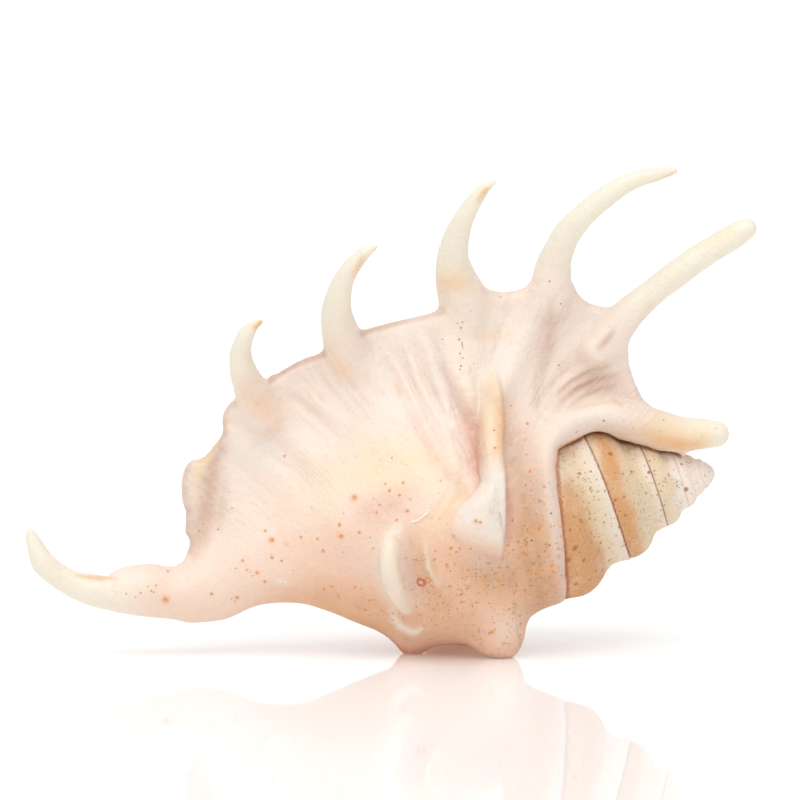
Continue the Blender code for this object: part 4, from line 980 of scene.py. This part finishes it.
def wall_masks(places):
    """How far each colour of the wall, painted shade and highlights among them, reaches, from where a place lies on the
    shell.
    """
    s, v, w = places.T
    radius, angle = np.hypot(v, w), np.arctan2(v, w)
    face = back_face(s, v)
    behind = np.where(v > 0, face - w, 0)
    front = ((v < 0) | (behind < 2.4)) & (w > -2)
    patches = {name: np.clip(crests(lines, s, v) * (w > -4) * front, 0, 1) for name, lines in PATCHES.items()}
    knob_1 = ease(0.4, 2.4, boss(s, v)) * (w > 0)
    knob_2 = np.clip(1.9 * crests([[(p[0], p[1], 1, p[3] + 0.2) for p in KNOB_2]], s, v), 0, 1) * (w > 10) * (radius > 21)
    free = to_line(LIP_EDGE, s, v)
    beyond = np.where(inside(LIP_EDGE + SPIRE_CONTACT[1:], s, v), -1, 1) * free * ((v > 13) | (s < 100) & (v > 5)) * (w > 0)
    digit = np.maximum(ease(-1, 9, beyond), ease(142, 160, s))
    root = sum(np.exp(-(to_line([p[:2] for p in places], s, v) / 4.5) ** 4) for places in DIGITS.values())
    # the bead's crest, given a painted highlight in cream and white
    rim = np.clip(crests(RIM, s, v) / 1.6, 0, 1) * front
    lobe = np.exp(-(to_line([(69, 2), (65, -1.5), (61.5, -4)], s, v) / 3.2) ** 2)
    line = fan_line(s, np.maximum(v, 8))
    low = 1 - ease(-3, 6, v)
    return {
        **patches,
        "peach": (1 - ease(-14, 34, v)) * (1 - 0.55 * ease(100, 128, s)) * (1 - 0.6 * digit),
        "cream": np.maximum(np.maximum(patches["cream"], 0.3 * rim), knob_1 * ease(13, 20, v) + 0.9 * knob_2),
        "ivory": 0.9 * digit,
        # worn white on the knobs, with a painted highlight on the bead
        "white": np.clip(patches["white"] + knob_1 * (1 - ease(13, 20, v)) * (1 - 0.75 * lobe) + 0.45 * knob_2 + 0.45 * rim, 0, 1),
        # painted shade in the furrows, by their depth
        "furrow": np.clip(crests(FURROWS, s, v) / 0.8, 0, 1) * front,
        "plain": ease(4, 20, v) * (1 - digit) * (1 - knob_1) * front * (1 - rim) + 0.35 * (1 - ease(4, 20, v)) * front,
        "pitted": (0.95 * low * (1 - ease(76, 94, s)) + 0.08 * (1 - ease(14, 32, v)) * (1 - ease(120, 140, s))
                   + 0.25 * ease(8, 2, np.abs(s - 48)) * (1 - ease(10, 24, v))) * front * (1 - knob_1) * (1 - knob_2),
        "glaze": np.where(v > 0, ease(1.6, 3.4, behind), ease(0, 6, -w) * ease(-12, 0, v + 3 * lumps(places, 9, 41)))
                 * (1 - ease(0, 7, beyond)) * (s > 38) + ease(1.6, 3.4, behind) * (v > 0) * (s <= 38) * (1 - ease(0, 7, beyond)),
        "deep": 1 - ease(6, 34, v - 0.12 * (s - 60)),
        # the underside between the knobs, for its painted shade and glow
        "under": ease(10, 19, -v) * (1 - ease(2, 9, w)) * ease(-22, -14, w) * ease(52, 60, s) * (1 - ease(86, 96, s)),
        "edge": along(EDGE_STAIN, s) * (1 - ease(0.5, 1.6, free)) * (v > 8) * (1 - ease(0.1, 0.5, root)),
        # painted shade: the wall where it comes close to the spire's surface
        "crevice": 0.9 * (1 - ease(0.1, 0.5, (radius - spire_radius(s, angle)) / (0.5 + 0.6 * ease(6, 14, v)))) * (s < 46),
        "line": line * MM,
        "run": 0.10 * v * MM,
    }


whorl_places = on_shell(whorl)
give_masks(whorl, wall_masks(whorl_places))
tree = KDTree(len(whorl_places))
for number, place in enumerate(whorl_places):
    tree.insert(place, number)
tree.balance()
# painted shade on the spire: a thin line where it comes within about a millimetre of the last whorl's front
gap = np.array([tree.find(place)[2] if place[2] > 0 else 9 for place in spire_places])
give_masks(spire, {"contact": 1 - ease(0.65, 1.15, gap)})
whorl.data.materials.append(wall_material())
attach(whorl, "root")
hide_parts("shell")

# ============================================================================================
# The worm tube: a thread of white lime that a worm laid on the back and lived in. It lies in
# bends along the skin, is as thin as a pencil line and a little uneven.
# ============================================================================================
WORM_PATH = [(79.3, 8.0), (77.7, 8.0), (76.3, 8.5), (75.2, 9.1), (74.5, 10.4), (74.0, 11.8)]
WORM_RADIUS = 0.32
WORM_STEP, WORM_ROUND = 0.15, 12
WORM_WHITE = (0.88, 0.83, 0.76)


def worm_mesh():
    """Rings about a smooth path on the skin, of a radius with small lumps."""
    corners = np.array([on_skin(s, v) for s, v in WORM_PATH])
    corners = (corners / MM - np.array(APEX)) @ SHELL_AXES.T
    path = rod_points(np.column_stack((corners, np.full(len(corners), WORM_RADIUS))), WORM_STEP)[:, :3].astype(float)
    forward = np.gradient(path, axis=0)
    forward /= np.linalg.norm(forward, axis=1)[:, None]
    across = np.cross(forward, (0, 0, 1))
    across /= np.linalg.norm(across, axis=1)[:, None]
    outward = np.cross(across, forward)
    angle = np.linspace(0, 2 * math.pi, WORM_ROUND, endpoint=False)[None, :, None]
    radius = WORM_RADIUS * (1 + 0.35 * lumps(path, 0.8, 31))[:, None, None]
    rings = path[:, None] + radius * (np.cos(angle) * across[:, None] + np.sin(angle) * outward[:, None])
    ends = (path[0] - forward[0] * WORM_RADIUS / 2, path[-1] + forward[-1] * WORM_RADIUS / 2)
    return np.concatenate((rings.reshape(-1, 3), ends)), ring_triangles(len(path), WORM_ROUND)


def worm_material():
    material, lime = new_material("worm_lime")
    places = lime.node("ShaderNodeTexCoord", {}, {}, 3)
    chalk = lime.noise(places, 0.5, 3.0)
    surface = {"Base Color": chalk.step(0.4, 0.7).blend(WORM_WHITE, LIME_GREY), "Roughness": 0.6}
    finish_material(lime, surface, [(chalk, 0.0001)])
    return material


worm = mesh_piece("worm_tube", *worm_mesh())
worm.data.materials.append(worm_material())
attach(worm, "root")
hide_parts("shell")

# ============================================================================================
# The stand-in for a photographer's table: a sheet of white acrylic, polished, which mirrors
# what stands on it and goes on past the picture on every side.
# ============================================================================================
FLOOR_SIZE = 6.0
ACRYLIC_WHITE = (0.93, 0.925, 0.92)
ACRYLIC_GLOW = 0.10                     # it is lit a little from below


def floor_material():
    material, acrylic = new_material("white_acrylic")
    surface = {"Base Color": (*ACRYLIC_WHITE, 1), "Roughness": 0.03, "Specular IOR Level": 0.28,
               "Emission Color": (1, 1, 1, 1), "Emission Strength": ACRYLIC_GLOW}
    shader = acrylic.node("ShaderNodeBsdfPrincipled", {}, surface)
    acrylic.node("ShaderNodeOutputMaterial", {}, {"Surface": shader})
    return material


bpy.ops.mesh.primitive_plane_add(size=FLOOR_SIZE)
floor = bpy.context.object
floor.name = "floor"
floor.data.materials.append(floor_material())

# ============================================================================================
# Light: a white room that fills the shadows, and one large soft box overhead, to the front and left.
# ============================================================================================
ROOM = 0.76                             # light from all sides, against the white that is seen
world = bpy.data.worlds.new("white_room")
bpy.context.scene.world = world
world.use_nodes = True
world.node_tree.nodes.clear()
room = Socket(world.node_tree)
seen = room.node("ShaderNodeLightPath", {}, {}, "Is Camera Ray") + room.node("ShaderNodeLightPath", {}, {}, "Is Glossy Ray")
walls = room.node("ShaderNodeBackground", {}, {"Color": (1, 1, 1, 1), "Strength": seen.clip() * (1 - ROOM) + ROOM})
room.node("ShaderNodeOutputWorld", {}, {"Surface": walls})

AIM = (APEX + Vector((-78.96, -4.0, 18.56))) * MM
KEY_SPREAD = math.radians(55)           # how wide the soft box looks from the shell
KEY_STRENGTH = 1.42
key_from = Vector((-0.15, -0.6, 1.0)).normalized()
key = bpy.data.objects.new("key", bpy.data.lights.new("key", "SUN"))
key.data.energy = KEY_STRENGTH
key.data.angle = KEY_SPREAD
key.rotation_euler = key_from.to_track_quat("Z", "Y").to_euler()
bpy.context.scene.collection.objects.link(key)

CAMERA_HEIGHT = math.radians(6)
camera = bpy.data.objects.new("camera", bpy.data.cameras.new("camera"))
bpy.context.scene.collection.objects.link(camera)
camera.data.lens = 270
camera.data.sensor_width = 36
back = Vector((0, -math.cos(CAMERA_HEIGHT), math.sin(CAMERA_HEIGHT)))
camera.location = AIM + back * 1.5
camera.rotation_euler = (-back).to_track_quat("-Z", "Y").to_euler()
bpy.context.scene.camera = camera
bpy.context.scene.view_settings.view_transform = "Standard"
